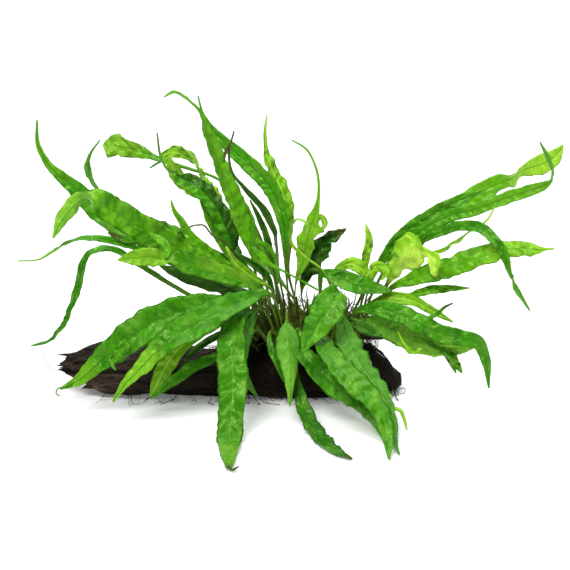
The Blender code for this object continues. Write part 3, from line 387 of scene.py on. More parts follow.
# Lobes and notches of a margin: share of the leaf's length, half (1 is the lower half of a leaf
# that points right), mm outwards and mm along it
LOBES = {
    "leaf_right_4": [(0.785, 1, 5.0, 2.2), (0.79, -1, 1.0, 2.0), (0.73, 1, -1.2, 2.5)],
    "leaf_right_8": [(0.53, -1, -1.3, 2.2), (0.6, -1, 0.5, 3.0), (0.9, 1, 0.8, 1.5)],
    "leaf_top_1": [(0.97, -1, 1.8, 1.6), (0.94, -1, -0.9, 1.5), (0.955, 1, 1.2, 1.6), (0.92, 1, -0.6, 1.4)],
    "leaf_top_11": [(0.51, 1, 3.6, 2.0), (0.46, 1, -0.8, 1.2), (0.42, 1, 1.0, 1.2), (0.44, -1, 0.8, 1.6),
                    (0.36, -1, 0.8, 1.6), (0.55, -1, 0.6, 1.5)],
    "leaf_right_12": [(0.72, -1, 0.9, 1.6), (0.8, 1, 0.8, 1.4)],
    "leaf_low_left_2": [(0.8, -1, 0.9, 2.0)],
    "leaf_left_1": [(0.52, -1, 0.8, 3.0)],
    "leaf_left_2": [(0.8, -1, 1.5, 4.0), (0.8, 1, 1.5, 4.0)],
    "leaf_top_4": [(0.85, 1, 1.2, 4.0), (0.87, -1, 1.0, 3.0), (0.95, 1, 1.2, 3.0), (0.96, -1, 1.2, 2.5)],
    "leaf_top_13": [(0.55, 1, 1.4, 1.3), (0.63, 1, -1.2, 1.0), (0.7, 1, 1.2, 1.2), (0.6, -1, 1.2, 1.2),
                    (0.67, -1, -1.2, 1.0), (0.75, -1, 1.2, 1.2), (0.82, 1, -1.2, 1.2), (0.85, -1, 1.0, 1.0)],
}

# How light a leaf is against the others of its slot
TONES = {
    "leaf_left_1": 0.4, "leaf_left_4": -0.7, "leaf_low_left_1": 0.3, "leaf_low_left_2": 0.2,
    # leaf_top_2's lighter tone, darkened on one half by its dark patch, leaves the other half as painted sheen.
    "leaf_top_2": 1.0, "leaf_top_6": 0.5, "leaf_top_7": 2.2, "leaf_front_1": -1.3, "leaf_front_3": -1.2,
    "leaf_front_5": 0.3, "leaf_front_8": -0.7, "leaf_right_4": 0.8, "leaf_right_5": 1.3,
    "leaf_right_6": 1.3, "leaf_right_7": 0.3, "leaf_right_8": 0.6, "leaf_right_11": 0.3,
    "leaf_right_9": 0.6, "leaf_top_11": 1.8,
    "leaf_right_12": 0.8, "leaf_left_3": 0.3, "leaf_top_10": -2.0, "leaf_top_12": -2.0,
    "leaf_front_7": 0.6, "leaf_left_9": -1.0, "leaf_low_left_3": -1.5, "leaf_right_10": -0.8,
}

# How wavy a margin is against the rest
WAVES = {
    "leaf_top_13": 2.6, "leaf_right_4": 1.5, "leaf_top_1": 1.6, "leaf_right_9": 2.2,
    "leaf_right_12": 1.5, "leaf_top_2": 1.5, "leaf_right_5": 1.6, "leaf_left_4": 1.4,
    "scrap_plantlet_1": 3.0, "scrap_plantlet_2": 3.0, "scrap_plantlet_left": 3.0, "scrap_pale_fold": 2.5,
    "scrap_curl_top": 2.5, "scrap_fold_pale": 2.0, "leaf_top_4": 2.0,
    "leaf_front_5": 1.5, "leaf_top_5": 1.8, "leaf_front_2": 1.5, "leaf_left_2": 1.2, "leaf_top_10": 1.4,
    "leaf_right_8": 1.3, "leaf_right_1": 2.0, "leaf_right_2": 2.2, "leaf_left_3": 1.8,
}

# Patches of another tone: what, share of the length from and to, half (-1, 1 or 0 for both),
# amount
PATCHES = {
    "leaf_left_1": [("pale", 0.8, 1.0, 0, 0.25)],
    "leaf_left_2": [("pale", 0.8, 1.0, 0, 0.7), ("dark", 0.3, 0.6, -1, 0.3)],
    "leaf_left_4": [("pale", 0.75, 1.0, 0, 0.45), ("pale", 0.3, 0.6, 1, 0.2)],
    "leaf_left_5": [("pale", 0.85, 1.0, 0, 0.6)],
    "leaf_low_left_1": [("pale", 0.85, 1.0, 0, 0.4)],
    "leaf_low_left_2": [("pale", 0.75, 1.0, 0, 0.6)],
    "leaf_top_1": [("pale", 0.85, 1.0, 0, 0.4)],
    # leaf_top_2: the half outside its dark patch stays light as painted sheen.
    "leaf_top_2": [("dark", 0.3, 0.85, 1, 0.9), ("brown", 0.94, 0.98, 0, 0.9)],
    "leaf_top_8": [("brown", 0.87, 1.0, 0, 1.0), ("dark", 0.3, 0.85, 0, 0.5)],
    "leaf_top_13": [("brown", 0.9, 1.0, 0, 0.8), ("dark", 0.3, 0.95, -1, 0.6)],
    "leaf_front_1": [("pale", 0.82, 1.0, 0, 0.2), ("brown", 0.985, 1.0, 0, 0.9)],
    "leaf_front_3": [("dark", 0.05, 0.5, 0, 0.5), ("pale", 0.7, 1.0, 0, 0.35)],
    # leaf_front_5: the pale patch on one half is painted sheen.
    "leaf_front_5": [("pale", 0.3, 0.9, -1, 0.12)],
    "leaf_top_11": [("pale", 0.1, 1.0, 0, 0.35)],
    "leaf_front_6": [("brown", 0.96, 1.0, 0, 0.9)],
    "leaf_right_4": [("pale", 0.78, 1.0, 0, 0.8), ("pale", 0.96, 1.0, 0, 1.0)],
    "leaf_right_6": [("pale", 0.55, 1.0, 0, 0.25)],
    "leaf_right_7": [("pale", 0.85, 1.0, 0, 0.4)],
    "leaf_right_8": [("pale", 0.7, 1.0, 0, 0.35), ("pale", 0.93, 1.0, 0, 0.9)],
    "leaf_right_12": [("pale", 0.45, 1.0, 0, 0.6)],
    "scrap_curl_right": [("brown", 0.85, 1.0, 0, 1.0)],
    "scrap_fold_left": [("brown", 0.0, 0.5, 0, 0.7)],
    "scrap_tendril_brown": [("brown", 0.0, 0.99, 0, 0.55)],
    "scrap_fork_brown": [("brown", 0.0, 0.99, 0, 0.9)],
    "scrap_tip_front": [("brown", 0.0, 0.99, 0, 0.6)],
}

# The crumpled young leaf's left, middle and right points after its stalk: across, up, away
CRUMPLED_LEAF = "leaf_right_3"
CRUMPLED_ROWS = [
    ((78, 53.5, 0), (79.3, 53, 0), (80.5, 52.5, 0)),
    ((79, 61.5, 1.5), (82.5, 59, -1), (85.5, 56.5, 0)),
    ((81.5, 67, 1.5), (85, 64, -2.5), (87, 59.5, -1)),
    ((83, 73, 1), (87.5, 69, -4), (91, 59, -3)),
    ((86.5, 76, 0), (90.5, 71, -5), (95, 60.5, -6)),
    ((88.5, 78, -1), (92.5, 71, -5), (97, 62.5, -8)),
    ((92.5, 76, -5), (95.5, 70.5, -8), (97.5, 64.5, -10)),
    ((95.5, 72, -9), (97.5, 68.5, -10.5), (98.5, 65.5, -12)),
    ((100, 69, -13), (100, 67, -13.5), (99.5, 65, -14)),
    ((104.5, 67, -17), (102, 65, -16), (99, 63, -15)),
    ((105.5, 63, -19), (102.5, 61, -18), (99.5, 59.5, -17)),
    ((104.5, 58.5, -20.5), (103, 57.5, -20), (101, 56.5, -19.5)),
    ((103.8, 54.5, -21), (103.5, 54.5, -21), (103.2, 54.5, -21)),
]
CRUMPLED_STEPS = 7
CRUMPLE = 1.5


# Smooth routes
def smooth_values(values, spans, steps):
    """The curve through numbers or vectors that lie the given spans apart, in steps between neighbours."""
    rates = [(after - before) * (1.0 / span) for before, after, span in zip(values, values[1:], spans)]
    slopes = [rates[0]]
    for i in range(1, len(spans)):
        weighted = rates[i - 1] * spans[i] + rates[i] * spans[i - 1]
        slopes.append(weighted * (1.0 / (spans[i - 1] + spans[i])))
    slopes.append(rates[-1])
    result = []
    for i, span in enumerate(spans):
        for k in range(steps):
            t = k / steps
            result.append(
                values[i] * (2.0 * t ** 3 - 3.0 * t ** 2 + 1.0)
                + slopes[i] * (span * (t ** 3 - 2.0 * t ** 2 + t))
                + values[i + 1] * (3.0 * t ** 2 - 2.0 * t ** 3)
                + slopes[i + 1] * (span * (t ** 3 - t ** 2))
            )
    result.append(values[-1])
    return result


def smooth_route(points, widths):
    """A dense smooth line through the points, and the widths along it."""
    spans = [(after - before).length for before, after in zip(points, points[1:])]
    line = smooth_values(points, spans, ROUTE_STEPS)
    breadths = [max(w, TIP_WIDTH) for w in smooth_values(widths, spans, ROUTE_STEPS)]
    return line, breadths


def between(stations, values, at):
    for i in range(len(stations) - 1):
        if at <= stations[i + 1]:
            share = (at - stations[i]) / (stations[i + 1] - stations[i])
            return values[i] + (values[i + 1] - values[i]) * share
    return values[-1]


def evenly(points, step, *rows):
    """Points a step apart along a dense line, with the other rows' values there."""
    lengths = [0.0]
    for i in range(1, len(points)):
        lengths.append(lengths[-1] + (points[i] - points[i - 1]).length)
    count = max(3, round(lengths[-1] / step))
    places = [lengths[-1] * i / count for i in range(count + 1)]
    return places, [[between(lengths, row, at) for at in places] for row in (points, *rows)]


def smoothstep(low, high, value):
    share = min(max((value - low) / (high - low), 0.0), 1.0)
    return share * share * (3.0 - 2.0 * share)


def seen_point(across, up, away):
    direction = RIGHT * across + UPWARD * up - EYE
    if away == FLOOR:
        reach = (FLOOR_CLEARANCE - EYE.z) / direction.z
    else:
        reach = (away - EYE.y) / direction.y
    return EYE + direction * reach


def strand_base(strand, x, side):
    points = STRANDS[strand]
    y = between([p[0] for p in points], [p[1] for p in points], x)
    out = Vector((0.0, math.sin(side), math.cos(side)))
    return Vector((x, y, RHIZOME_Z)) + out * (RHIZOME_RADIUS + 2 * GAP + LEAF_THICKNESS / 2), out


def leaf_route(strand, x, side, rows):
    start, out = strand_base(strand, x, side)
    points = [start, start + out * PETIOLE_RISE]
    widths = [PETIOLE_WIDTH, PETIOLE_WIDTH]
    for across, up, away, width in rows:
        points.append(seen_point(across, up, away))
        widths.append(width)
    return points, widths


def facing(turn, lift):
    turn = math.radians(turn)
    lift = math.radians(lift)
    return Vector((math.sin(turn) * math.cos(lift), -math.cos(turn) * math.cos(lift), math.sin(lift)))


# Meshes
def piece_from(name, points, faces, material, marks=None):
    """A named mesh in metres from points in millimetres, with its marks per point."""
    mesh = bpy.data.meshes.new(name)
    mesh.from_pydata([p * MM for p in points], [], faces)
    for mark, values in (marks or {}).items():
        layer = mesh.attributes.new(mark, "FLOAT", "POINT")
        layer.data.foreach_set("value", values)
    mesh.shade_smooth()
    mesh.materials.append(material)
    piece = bpy.data.objects.new(name, mesh)
    bpy.context.scene.collection.objects.link(piece)
    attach(piece, "root")
    return piece


def ring_faces(rings, sides, first=0):
    """Quads between rings of points, and a fan to the point after the last ring at each end."""
    faces = []
    for i in range(rings - 1):
        a = first + i * sides
        b = a + sides
        for k in range(sides):
            n = (k + 1) % sides
            faces.append((a + k, a + n, b + n, b + k))
    low = first + rings * sides
    last = first + (rings - 1) * sides
    for k in range(sides):
        n = (k + 1) % sides
        faces.append((first + n, first + k, low))
        faces.append((last + k, last + n, low + 1))
    return faces


def blade_frames(points, face):
    """Unit vectors across and over the blade at each point of its middle line."""
    last = len(points) - 1
    sides = []
    side = RIGHT
    for i in range(last + 1):
        along = points[min(i + 1, last)] - points[max(i - 1, 0)]
        across = along.normalized().cross(face)
        if i and across.dot(side) < 0.0:
            across.negate()
        side = across.normalized()
        sides.append(side)
    frames = []
    for i in range(last + 1):
        along = (points[min(i + 1, last)] - points[max(i - 1, 0)]).normalized()
        near = sides[max(0, i - FRAME_SMOOTHING): i + FRAME_SMOOTHING + 1]
        side = sum(near, Vector()).normalized()
        side = (side - along * side.dot(along)).normalized()
        over = side.cross(along).normalized()
        if over.dot(face) < 0.0 and i == 0:
            over.negate()
        if frames and over.dot(frames[-1][2]) < 0.0:
            over.negate()
        frames.append((along, side, over))
    return frames


def wave_maker(rng, scale):
    """A smooth uneven ripple along a margin."""
    waves = [(rng.uniform(9, 15), rng.uniform(0, 6.3), 0.62), (rng.uniform(5, 8), rng.uniform(0, 6.3), 0.38),
             (rng.uniform(24, 40), rng.uniform(0, 6.3), 0.5)]
    return lambda s: scale * sum(a * math.sin(6.2832 * s / length + start) for length, start, a in waves)


def patch_amount(patches, kind, share, half):
    amount = 0.0
    for what, low, high, side, most in patches:
        if what == kind and side * half >= 0.0:
            inside = smoothstep(low - 0.05, low + 0.05, share)
            if high < 1.0:
                inside *= 1.0 - smoothstep(high - 0.05, high + 0.05, share)
            amount = max(amount, most * inside)
    return amount


def leaf_shape(name, points, widths, face):
    """A closed leaf: a round stalk that spreads into a folded, wavy, blistered blade."""
    rng = random.Random(name)
    dense, dense_widths = smooth_route(points, widths)
    places, (line, breadth) = evenly(dense, LEAF_STEP, dense_widths)
    length = places[-1]
    frames = blade_frames(line, face)
    rolls = ROLLS.get(name, [(0.0, 0), (1.0, rng.uniform(-14, 14))])
    patches = PATCHES.get(name, [])
    wavy_share = WAVES.get(name, 1.0) * rng.uniform(0.75, 1.25)
    wavy = wavy_share * WAVE_SHARE
    ripple = {-1: wave_maker(rng, wavy), 1: wave_maker(rng, wavy)}
    margin = {-1: wave_maker(rng, MARGIN_SHARE), 1: wave_maker(rng, MARGIN_SHARE)}
    fold = FOLD * rng.uniform(0.5, 1.7)
    arch = ARCH * rng.uniform(-0.6, 1.5)
    offset = rng.uniform(0, 900)
    tone = TONES.get(name, rng.uniform(-0.8, 0.8))
    lobes = [(at * length, hand, out, spread) for at, hand, out, spread in LOBES.get(name, [])]
    stalky = 0.0 if name.startswith("scrap") else 1.0
    columns = [k / LEAF_COLUMNS * 2 - 1 for k in range(LEAF_COLUMNS + 1)]
    columns = [t * (1 - COLUMN_CROWDING + COLUMN_CROWDING * t * t) for t in columns]
    scallop = {-1: rng.uniform(0, 900), 1: rng.uniform(0, 900)}
    loop = [(v, 1) for v in columns] + [(v, -1) for v in reversed(columns[1:-1])]
    verts = []
    marks = {m: [] for m in ("across", "along", "under", "stalk", "pale", "dark", "brown", "tone")}

    def mark(v, half, s, face_side, share, stalk_share):
        marks["across"].append(v * half)
        marks["along"].append(s + offset)
        marks["under"].append(1.0 if face_side < 0 else 0.0)
        marks["stalk"].append(stalk_share * (1 - smoothstep(*STALK_SHARES, share)))
        for kind in ("pale", "dark", "brown"):
            marks[kind].append(patch_amount(patches, kind, share, v))
        marks["tone"].append(tone)

    for i, (s, centre, width) in enumerate(zip(places, line, breadth)):
        along, side, over = frames[i]
        share = s / length
        stalk_share = stalky * (1 - smoothstep(*STALK_WIDTHS, width))
        roll = math.radians(between([r[0] for r in rolls], [float(r[1]) for r in rolls], share))
        blade = smoothstep(BLADE_FROM, BLADE_FULL, width)
        roll += blade * TWIST * noise.noise(Vector((s / 17.0, offset, 0.0)))
        turn = Quaternion(along, roll)
        side = turn @ side
        over = turn @ over
        half = width / 2
        sway = blade * SWAY * noise.noise(Vector((s / 6.5, offset, 8.0)))
        taper = smoothstep(0.0, 4.0, length - s)
        for v, top in loop:
            hand = 1 if v > 0 else -1
            edge = abs(v)
            nick = NICK_SHARE * noise.noise(Vector(((s + offset) / 1.7, hand * 5.0, 0.0)))
            across = v * half * (1.0 + blade * (margin[hand](s) + nick * wavy_share) * edge)
            notch = noise.noise(Vector(((s + scallop[hand]) / 2.1, 0.0, 2.0)))
            across += hand * blade * SCALLOP * wavy_share * notch * edge ** 3
            for at, lobed, out, spread in lobes:
                if lobed == hand:
                    across += hand * out * edge ** 2 * math.exp(-(((s - at) / spread) ** 2))
            bend = math.sqrt(v * v + 0.01) - 0.1
            height = sway + half * blade * (bend * math.sin(fold) + arch * v * v)
            height += half * blade * ripple[hand](s + offset) * edge ** 1.8
            oblique = s + offset - VEIN_SLANT * edge * half
            folds = noise.noise(Vector((oblique / BLISTER_LONG, edge * half / 6.0, hand * 7.0)))
            bumps = noise.noise(Vector(((s + offset) / 2.6, across / 2.2, 3.0 + hand)))
            relief = BLISTER_HEIGHT * folds + 0.4 * BLISTER_HEIGHT * bumps
            height += blade * relief * wavy_share * (1 - edge ** 6) * min(1.0, edge * half / 1.0)
            thick = STALK_ROUNDNESS * width * math.sqrt(max(0.0, 1 - v * v)) * (1 - blade)
            thick += blade * BLADE_SKIN * (1 - edge ** 10)
            rib = blade * MIDRIB_DEPTH * math.exp(-((across / MIDRIB_WIDTH) ** 2)) * taper
            height += (thick - rib * 0.4) if top > 0 else -(thick + rib)
            point = centre + side * across + over * height
            point.z = max(point.z, FLOOR_TOUCH + (BLADE_SKIN * 2 if top > 0 else 0.0))
            verts.append(point)
            mark(v, half, s, top, share, stalk_share)
    for i in (0, -1):
        verts.append(line[i].copy())
        verts[-1].z = max(verts[-1].z, FLOOR_TOUCH)
        mark(0.0, 0.1, places[i], 1, places[i] / length, stalky + i)
    return verts, ring_faces(len(line), len(loop)), marks


def crumpled_shape(base, stalk, rows):
    """A closed crumpled leaf through rows of left, middle and right points, on its stalk."""
    stalk = [base, *stalk]
    narrow = RIGHT * (PETIOLE_WIDTH / 2)
    rows = [(p - narrow, p, p + narrow) for p in stalk] + rows
    spans = [(after[1] - before[1]).length for before, after in zip(rows, rows[1:])]
    edges = [smooth_values([row[k] for row in rows], spans, CRUMPLED_STEPS) for k in range(3)]
    grid = []
    for left, middle, right in zip(*edges):
        halves = [(middle - left).length, (right - middle).length]
        grid.append(smooth_values([left, middle, right], halves, LEAF_COLUMNS // 2))
    last = len(grid) - 1
    along = 0.0
    verts = []
    marks = {m: [] for m in ("across", "along", "under", "stalk", "pale", "dark", "brown", "tone")}
    for i, row in enumerate(grid):
        along += (row[LEAF_COLUMNS // 2] - grid[max(i - 1, 0)][LEAF_COLUMNS // 2]).length
        width = (row[-1] - row[0]).length
        blade = smoothstep(BLADE_FROM, BLADE_FULL, width)
        top = []
        under = []
        for k, point in enumerate(row):
            forward = grid[min(i + 1, last)][k] - grid[max(i - 1, 0)][k]
            sideways = row[min(k + 1, LEAF_COLUMNS)] - row[max(k - 1, 0)]
            over = sideways.cross(forward).normalized()
            share = k / LEAF_COLUMNS * 2 - 1
            crease = 0.5 - abs(noise.noise(point * 0.17 + Vector((3.0, 0, 0)))) * 2.0
            fine = noise.noise(point * 0.5)
            height = blade * CRUMPLE * (crease + 0.3 * fine)
            round_half = STALK_ROUNDNESS * width * math.sqrt(max(0.0, 1 - share * share))
            thick = round_half * (1 - blade) + blade * BLADE_SKIN * (1 - abs(share) ** 10)
            top.append(point + over * (height + thick))
            under.append(point + over * (height - thick))
        loop = top + under[-2:0:-1]
        verts += loop
        for n in range(len(loop)):
            k = n if n <= LEAF_COLUMNS else 2 * LEAF_COLUMNS - n
            share = k / LEAF_COLUMNS * 2 - 1
            marks["across"].append(share * width / 2)
            marks["along"].append(along)
            marks["under"].append(0.0)
            marks["stalk"].append(1.0 - smoothstep(*STALK_WIDTHS, width))
            marks["pale"].append(smoothstep(-0.3, 0.3, share) * blade)
            marks["dark"].append(0.0)
            marks["brown"].append(0.0)
            marks["tone"].append(0.8)
    for i in (0, -1):
        verts.append(grid[i][LEAF_COLUMNS // 2].copy())
        for kind, values in marks.items():
            values.append(values[0] if i == 0 else values[-2])
    return verts, ring_faces(len(grid), 2 * LEAF_COLUMNS), marks


def build_leaves(materials):
    for name, slot, strand, x, side, face, rows in LEAVES:
        points, widths = leaf_route(strand, x, math.radians(side), rows)
        if name == CRUMPLED_LEAF:
            sheet = [tuple(seen_point(*point) for point in row) for row in CRUMPLED_ROWS]
            verts, faces, marks = crumpled_shape(points[0], points[1:3], sheet)
        else:
            verts, faces, marks = leaf_shape(name, points, widths, facing(*face))
        leaf = piece_from("fine_" + name, verts, faces, materials[slot], marks)
        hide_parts(name)
    for name, slot, face, rows in SCRAPS:
        points = [seen_point(*row[:3]) for row in rows]
        widths = [row[3] for row in rows]
        verts, faces, marks = leaf_shape(name, points, widths, facing(*face))
        piece_from(name, verts, faces, materials[slot], marks)


# Tubes
def tube(line, radii, sides, verts, faces):
    """Adds a closed round tube along a line to a mesh's points and faces."""
    first = len(verts)
    last = len(line) - 1
    normal = (line[1] - line[0]).orthogonal().normalized()
    for i, (point, radius) in enumerate(zip(line, radii)):
        along = (line[min(i + 1, last)] - line[max(i - 1, 0)]).normalized()
        normal = (normal - along * normal.dot(along)).normalized()
        other = along.cross(normal)
        for k in range(sides):
            turn = 2 * math.pi * k / sides
            verts.append(point + (normal * math.cos(turn) + other * math.sin(turn)) * radius)
    verts.append(line[0].copy())
    verts.append(line[-1].copy())
    faces.extend(ring_faces(last + 1, sides, first))


# Driftwood
def wood_ring_point(x, angle, grow=0.0):
    xs = [s[0] for s in WOOD_SECTIONS]
    low, top, front, back = (between(xs, [s[k] for s in WOOD_SECTIONS], x) for k in (1, 2, 3, 4))
    ridges = sum(share * math.sin(count * angle + x / pitch) for share, count, pitch in WOOD_RIDGES)
    squared = 1.0 / max(abs(math.cos(angle)), abs(math.sin(angle))) ** WOOD_SQUARENESS
    reach = (1.0 + ridges) * squared
    y = (front + back) / 2 + math.cos(angle) * ((back - front) / 2 * reach + grow)
    z = (low + top) / 2 + math.sin(angle) * ((top - low) / 2 * reach + grow)
    return Vector((x, y, z))


WOOD_RINGS = 250
WOOD_SIDES = 190
GRAIN_LONG = 0.035
GRAIN_ROUND = 3.4
GROOVE_DEPTH = 2.2
BARK_DEPTH = 0.8
LEFT_SPLIT = 13.0


def wood_left_end(angle):
    """Where the broken left end stops at each place round the log."""
    at = Vector((math.cos(angle) * 2.6, math.sin(angle) * 2.6, 7.0))
    fine = Vector((math.cos(angle) * 9.0, math.sin(angle) * 9.0, 3.0))
    split = 0.5 + 0.9 * noise.noise(at) + 0.5 * noise.noise(fine)
    return -85.0 + LEFT_SPLIT * min(max(split, 0.0), 1.0)


# Brown wood laid bare: x, z, reach and amount
HEARTWOOD = [(-66.0, 4.0, 6.0, 1.0), (-54.0, 11.0, 9.0, 0.35), (-76.0, 14.0, 5.0, 0.3)]


def build_driftwood(material):
    verts = []
    crest = []
    heart = []
    ends = [wood_left_end(2 * math.pi * k / WOOD_SIDES) for k in range(WOOD_SIDES)]
    right = WOOD_SECTIONS[-1][0]
    for i in range(WOOD_RINGS):
        share = i / (WOOD_RINGS - 1)
        share = 0.5 - 0.5 * math.cos(math.pi * share) if share > 0.5 else share
        for k in range(WOOD_SIDES):
            angle = 2 * math.pi * k / WOOD_SIDES
            x = ends[k] + (right - ends[k]) * share
            point = wood_ring_point(x, angle)
            centre = Vector((x, 0.0, 11.0))
            inward = (centre - point)
            size = inward.length
            inward.normalize()
            bend = 0.25 * noise.noise(Vector((x * 0.03, angle, 0.0)))
            grain = Vector((x * GRAIN_LONG, math.cos(angle + bend) * GRAIN_ROUND, math.sin(angle + bend) * GRAIN_ROUND))
            groove = noise.multi_fractal(grain, 0.9, 2.1, 4) - 0.9
            lines = abs(noise.noise(grain * 3.1 + Vector((5.0, 0, 0))))
            rough = noise.noise(Vector((x * 0.35, point.y * 0.6, point.z * 0.6)))
            depth = GROOVE_DEPTH * smoothstep(-0.6, 0.7, groove)
            depth += BARK_DEPTH * (1 - smoothstep(0.0, 0.16, lines))
            depth += 0.35 * (rough + 0.6)
            depth = min(depth, size * 0.4)
            verts.append(point + inward * depth)
            verts[-1].z = max(verts[-1].z, 0.0)
            # The crest mark falls with each groove's depth: painted shade in the grooves.
            crest.append(1.0 - min(depth / 3.0, 1.0))
            heart.append(sum(amount * math.exp(-((x - at) ** 2 + (point.z - height) ** 2) / reach ** 2)
                             for at, height, reach, amount in HEARTWOOD))
    verts.append(Vector((-74.0, -2.0, 12.5)))
    verts.append(Vector((right, 0.0, 3.0)))
    crest += [0.0, 0.5]
    heart += [0.0, 0.0]
    wood = piece_from("fine_driftwood", verts, ring_faces(WOOD_RINGS, WOOD_SIDES), material,
                      {"crest": crest, "heart": heart})
    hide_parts("driftwood")


# Slivers at the broken end: root point, tip point, root radius
SPLINTERS = [
    ((-66, -5, 15.0), (-86, -7, 14.5), 2.6),
    ((-66, 2, 17.0), (-86, 1, 17.5), 2.4),
    ((-60, -9, 8.0), (-73, -12, 4.2), 3.6),
    ((-56, -4, 20.0), (-73, -2, 22.0), 2.4),
    ((-62, -12, 13.0), (-77, -12, 11.0), 1.8),
    ((-66, 6, 11.0), (-80, 7, 10.0), 2.0),
    ((-64, -2, 9.0), (-79, -4, 8.0), 2.2),
    ((-60, -8, 18.0), (-75, -10, 18.5), 1.8),
    ((-64, 6, 15.0), (-82, 5, 14.0), 1.6),
    ((-66, -2, 12.5), (-85, -3, 11.5), 1.6),
]


def build_splinters(material):
    verts = []
    faces = []
    crest = []
    for number, (root, tip, radius) in enumerate(SPLINTERS):
        root = Vector(root)
        tip = Vector(tip)
        line = []
        radii = []
        steps = 16
        for i in range(steps + 1):
            share = i / steps
            point = root.lerp(tip, share)
            point.z += 0.5 * noise.noise(point * 0.22 + Vector((number, 0, 0)))
            line.append(point)
            ragged = 1.0 + 0.25 * noise.noise(point * 0.6)
            radii.append(max(0.12, radius * (1 - share ** 1.4) * ragged))
        before = len(verts)
        tube(line, radii, 14, verts, faces)
        for point in verts[before:]:
            groove = noise.noise(Vector((point.x * 0.08, point.y * 1.5, point.z * 1.5)))
            point.z += groove * 0.5
            # Darker where the noise sinks the surface: painted shade in the splinters' grooves.
            crest.append(0.5 + groove * 0.5)
    piece_from("splinters", verts, faces, material, {"crest": crest})


# Root mat
MAT_RINGS = 150
MAT_SIDES = 190
HAIR_RADIUS = (0.08, 0.2)
HAIR_STEP = 1.6
MAT_HAIRS = 1300
STRAY_HAIRS = 700


def build_root_mat(material):
    verts = []
    crest = []
    for i in range(MAT_RINGS):
        share = (i + 1) / (MAT_RINGS + 1)
        x = -math.cos(math.pi * share)
        ring = math.sqrt(1 - x * x)
        for k in range(MAT_SIDES):
            angle = 2 * math.pi * k / MAT_SIDES
            out = Vector((x, math.cos(angle) * ring, math.sin(angle) * ring))
            point = Vector((out.x * MAT_RADII.x, out.y * MAT_RADII.y, out.z * MAT_RADII.z)) + MAT_CENTRE
            lump = noise.fractal(point * 0.16, 0.8, 2.0, 4)
            strands = 1 - abs(noise.noise(Vector((point.x * 0.5, point.y * 0.7, point.z * 0.5))))
            height = 0.9 * lump + 0.9 * strands - 1.1
            verts.append(point + out * height)
            # The crest mark follows the lumps' height: painted shade between the lumps and strands.
            crest.append(min(max(0.25 + height * 0.4, 0.0), 0.6))
    verts.append(MAT_CENTRE - Vector((MAT_RADII.x, 0, 0)))
    verts.append(MAT_CENTRE + Vector((MAT_RADII.x, 0, 0)))
    crest += [0.5, 0.5]
    mat = piece_from("fine_root_mat", verts, ring_faces(MAT_RINGS, MAT_SIDES), material,
                     {"crest": crest})
    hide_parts("root_mat")


def skin_point(x, angle, lift):
    """A point just above the log or the mat, whichever is further out."""
    point = wood_ring_point(x, angle)
    centre = Vector((x, 0.0, 11.0))
    out = point - centre
    reach = out.length
    out.normalize()
    share = 1 - ((x - MAT_CENTRE.x) / MAT_RADII.x) ** 2
    if share > 0:
        across = MAT_RADII.y * math.sqrt(share)
        up = MAT_RADII.z * math.sqrt(share)
        dy = centre.y - MAT_CENTRE.y
        dz = centre.z - MAT_CENTRE.z
        a = (out.y / across) ** 2 + (out.z / up) ** 2
        b = 2 * (dy * out.y / across ** 2 + dz * out.z / up ** 2)
        c = (dy / across) ** 2 + (dz / up) ** 2 - 1
        inside = b * b - 4 * a * c
        if inside > 0:
            reach = max(reach, (-b + math.sqrt(inside)) / (2 * a))
    result = centre + out * (reach + lift)
    result.z = max(result.z, 0.35)
    return result


def build_mat_hairs(material):
    """Fine roots that run over the mat and the log, and others that stand off them."""
    rng = random.Random("mat hairs")
    verts = []
    faces = []
    crest = []
    for number in range(MAT_HAIRS + STRAY_HAIRS):
        stray = number >= MAT_HAIRS
        x = rng.uniform(-6, 80)
        angle = rng.uniform(-0.5, math.pi + 0.5)
        heading = rng.uniform(0, 2 * math.pi)
        length = rng.uniform(4, 10) if stray else rng.uniform(8, 26)
        radius = rng.uniform(*HAIR_RADIUS) * (0.6 if stray else 1.0)
        lift = rng.uniform(-0.1, 1.3)
        growth = rng.uniform(0.2, 0.9) if stray else 0.0
        line = []
        steps = max(5, int(length / HAIR_STEP))
        for i in range(steps):
            heading += rng.uniform(-0.5, 0.5)
            x += math.cos(heading) * HAIR_STEP
            angle += math.sin(heading) * HAIR_STEP / 17
            x = min(max(x, -20.0), 84.0)
            line.append(skin_point(x, angle, lift + growth * i + 0.5 * math.sin(i * 0.9 + number)))
        radii = [radius * (1 - 0.6 * i / steps) for i in range(steps)]
        tube(line, radii, 3, verts, faces)
        shade = rng.uniform(0.3, 1.0)
        crest += [shade] * (len(verts) - len(crest))
    piece_from("mat_hairs", verts, faces, material, {"crest": crest})


# Loose roots: points of across, up and away, and the root's radius
LOOSE_ROOTS = [
    ([(-40, -6, -14), (-42.5, -6.5, -19), (-41, -5, -22), (-40, -4.5, -24)], 0.2),
    ([(-26, -5, -16), (-27.5, -5.5, -20), (-31, -6.5, -24), (-35, -8.5, -28)], 0.2),
    ([(-9, -3, -18), (-10, -6, -20), (-11, -8, -21), (-8, -11.5, -24)], 0.25),
    ([(9, -3, -18), (9.5, -7, -21), (8, -9, -22), (6, -10, -23)], 0.25),
    ([(11, -3, -19), (13, -6, -21), (15, -9, -23), (13.5, -11, -24)], 0.25),
    ([(14, -3, -19), (17, -7, -22), (21, -8, -23), (25, -9, -24)], 0.22),
    ([(17, -3, -19), (20, -5, -21), (24, -5.5, -22)], 0.22),
    ([(80, 2, -12), (81.5, 0, -14), (83, -5, -16), (84, -9, -18), (83.5, -10, -18)], 0.35),
    ([(80, 1, -10), (83, -1.5, -12), (84.5, -3, -13), (82, -4, -13), (79, -2, -12)], 0.25),
    ([(82, 3, -8), (85, 0, -9), (87.5, -0.5, -9), (87, -2.5, -9), (85, -3.5, -9)], 0.25),
    ([(-72, 9, -8), (-85, 9, -9), (-87.5, 8.5, -9), (-91, 11, -9), (-94, 18, -9)], 0.22),
]


FLOOR_ROOTS = 60


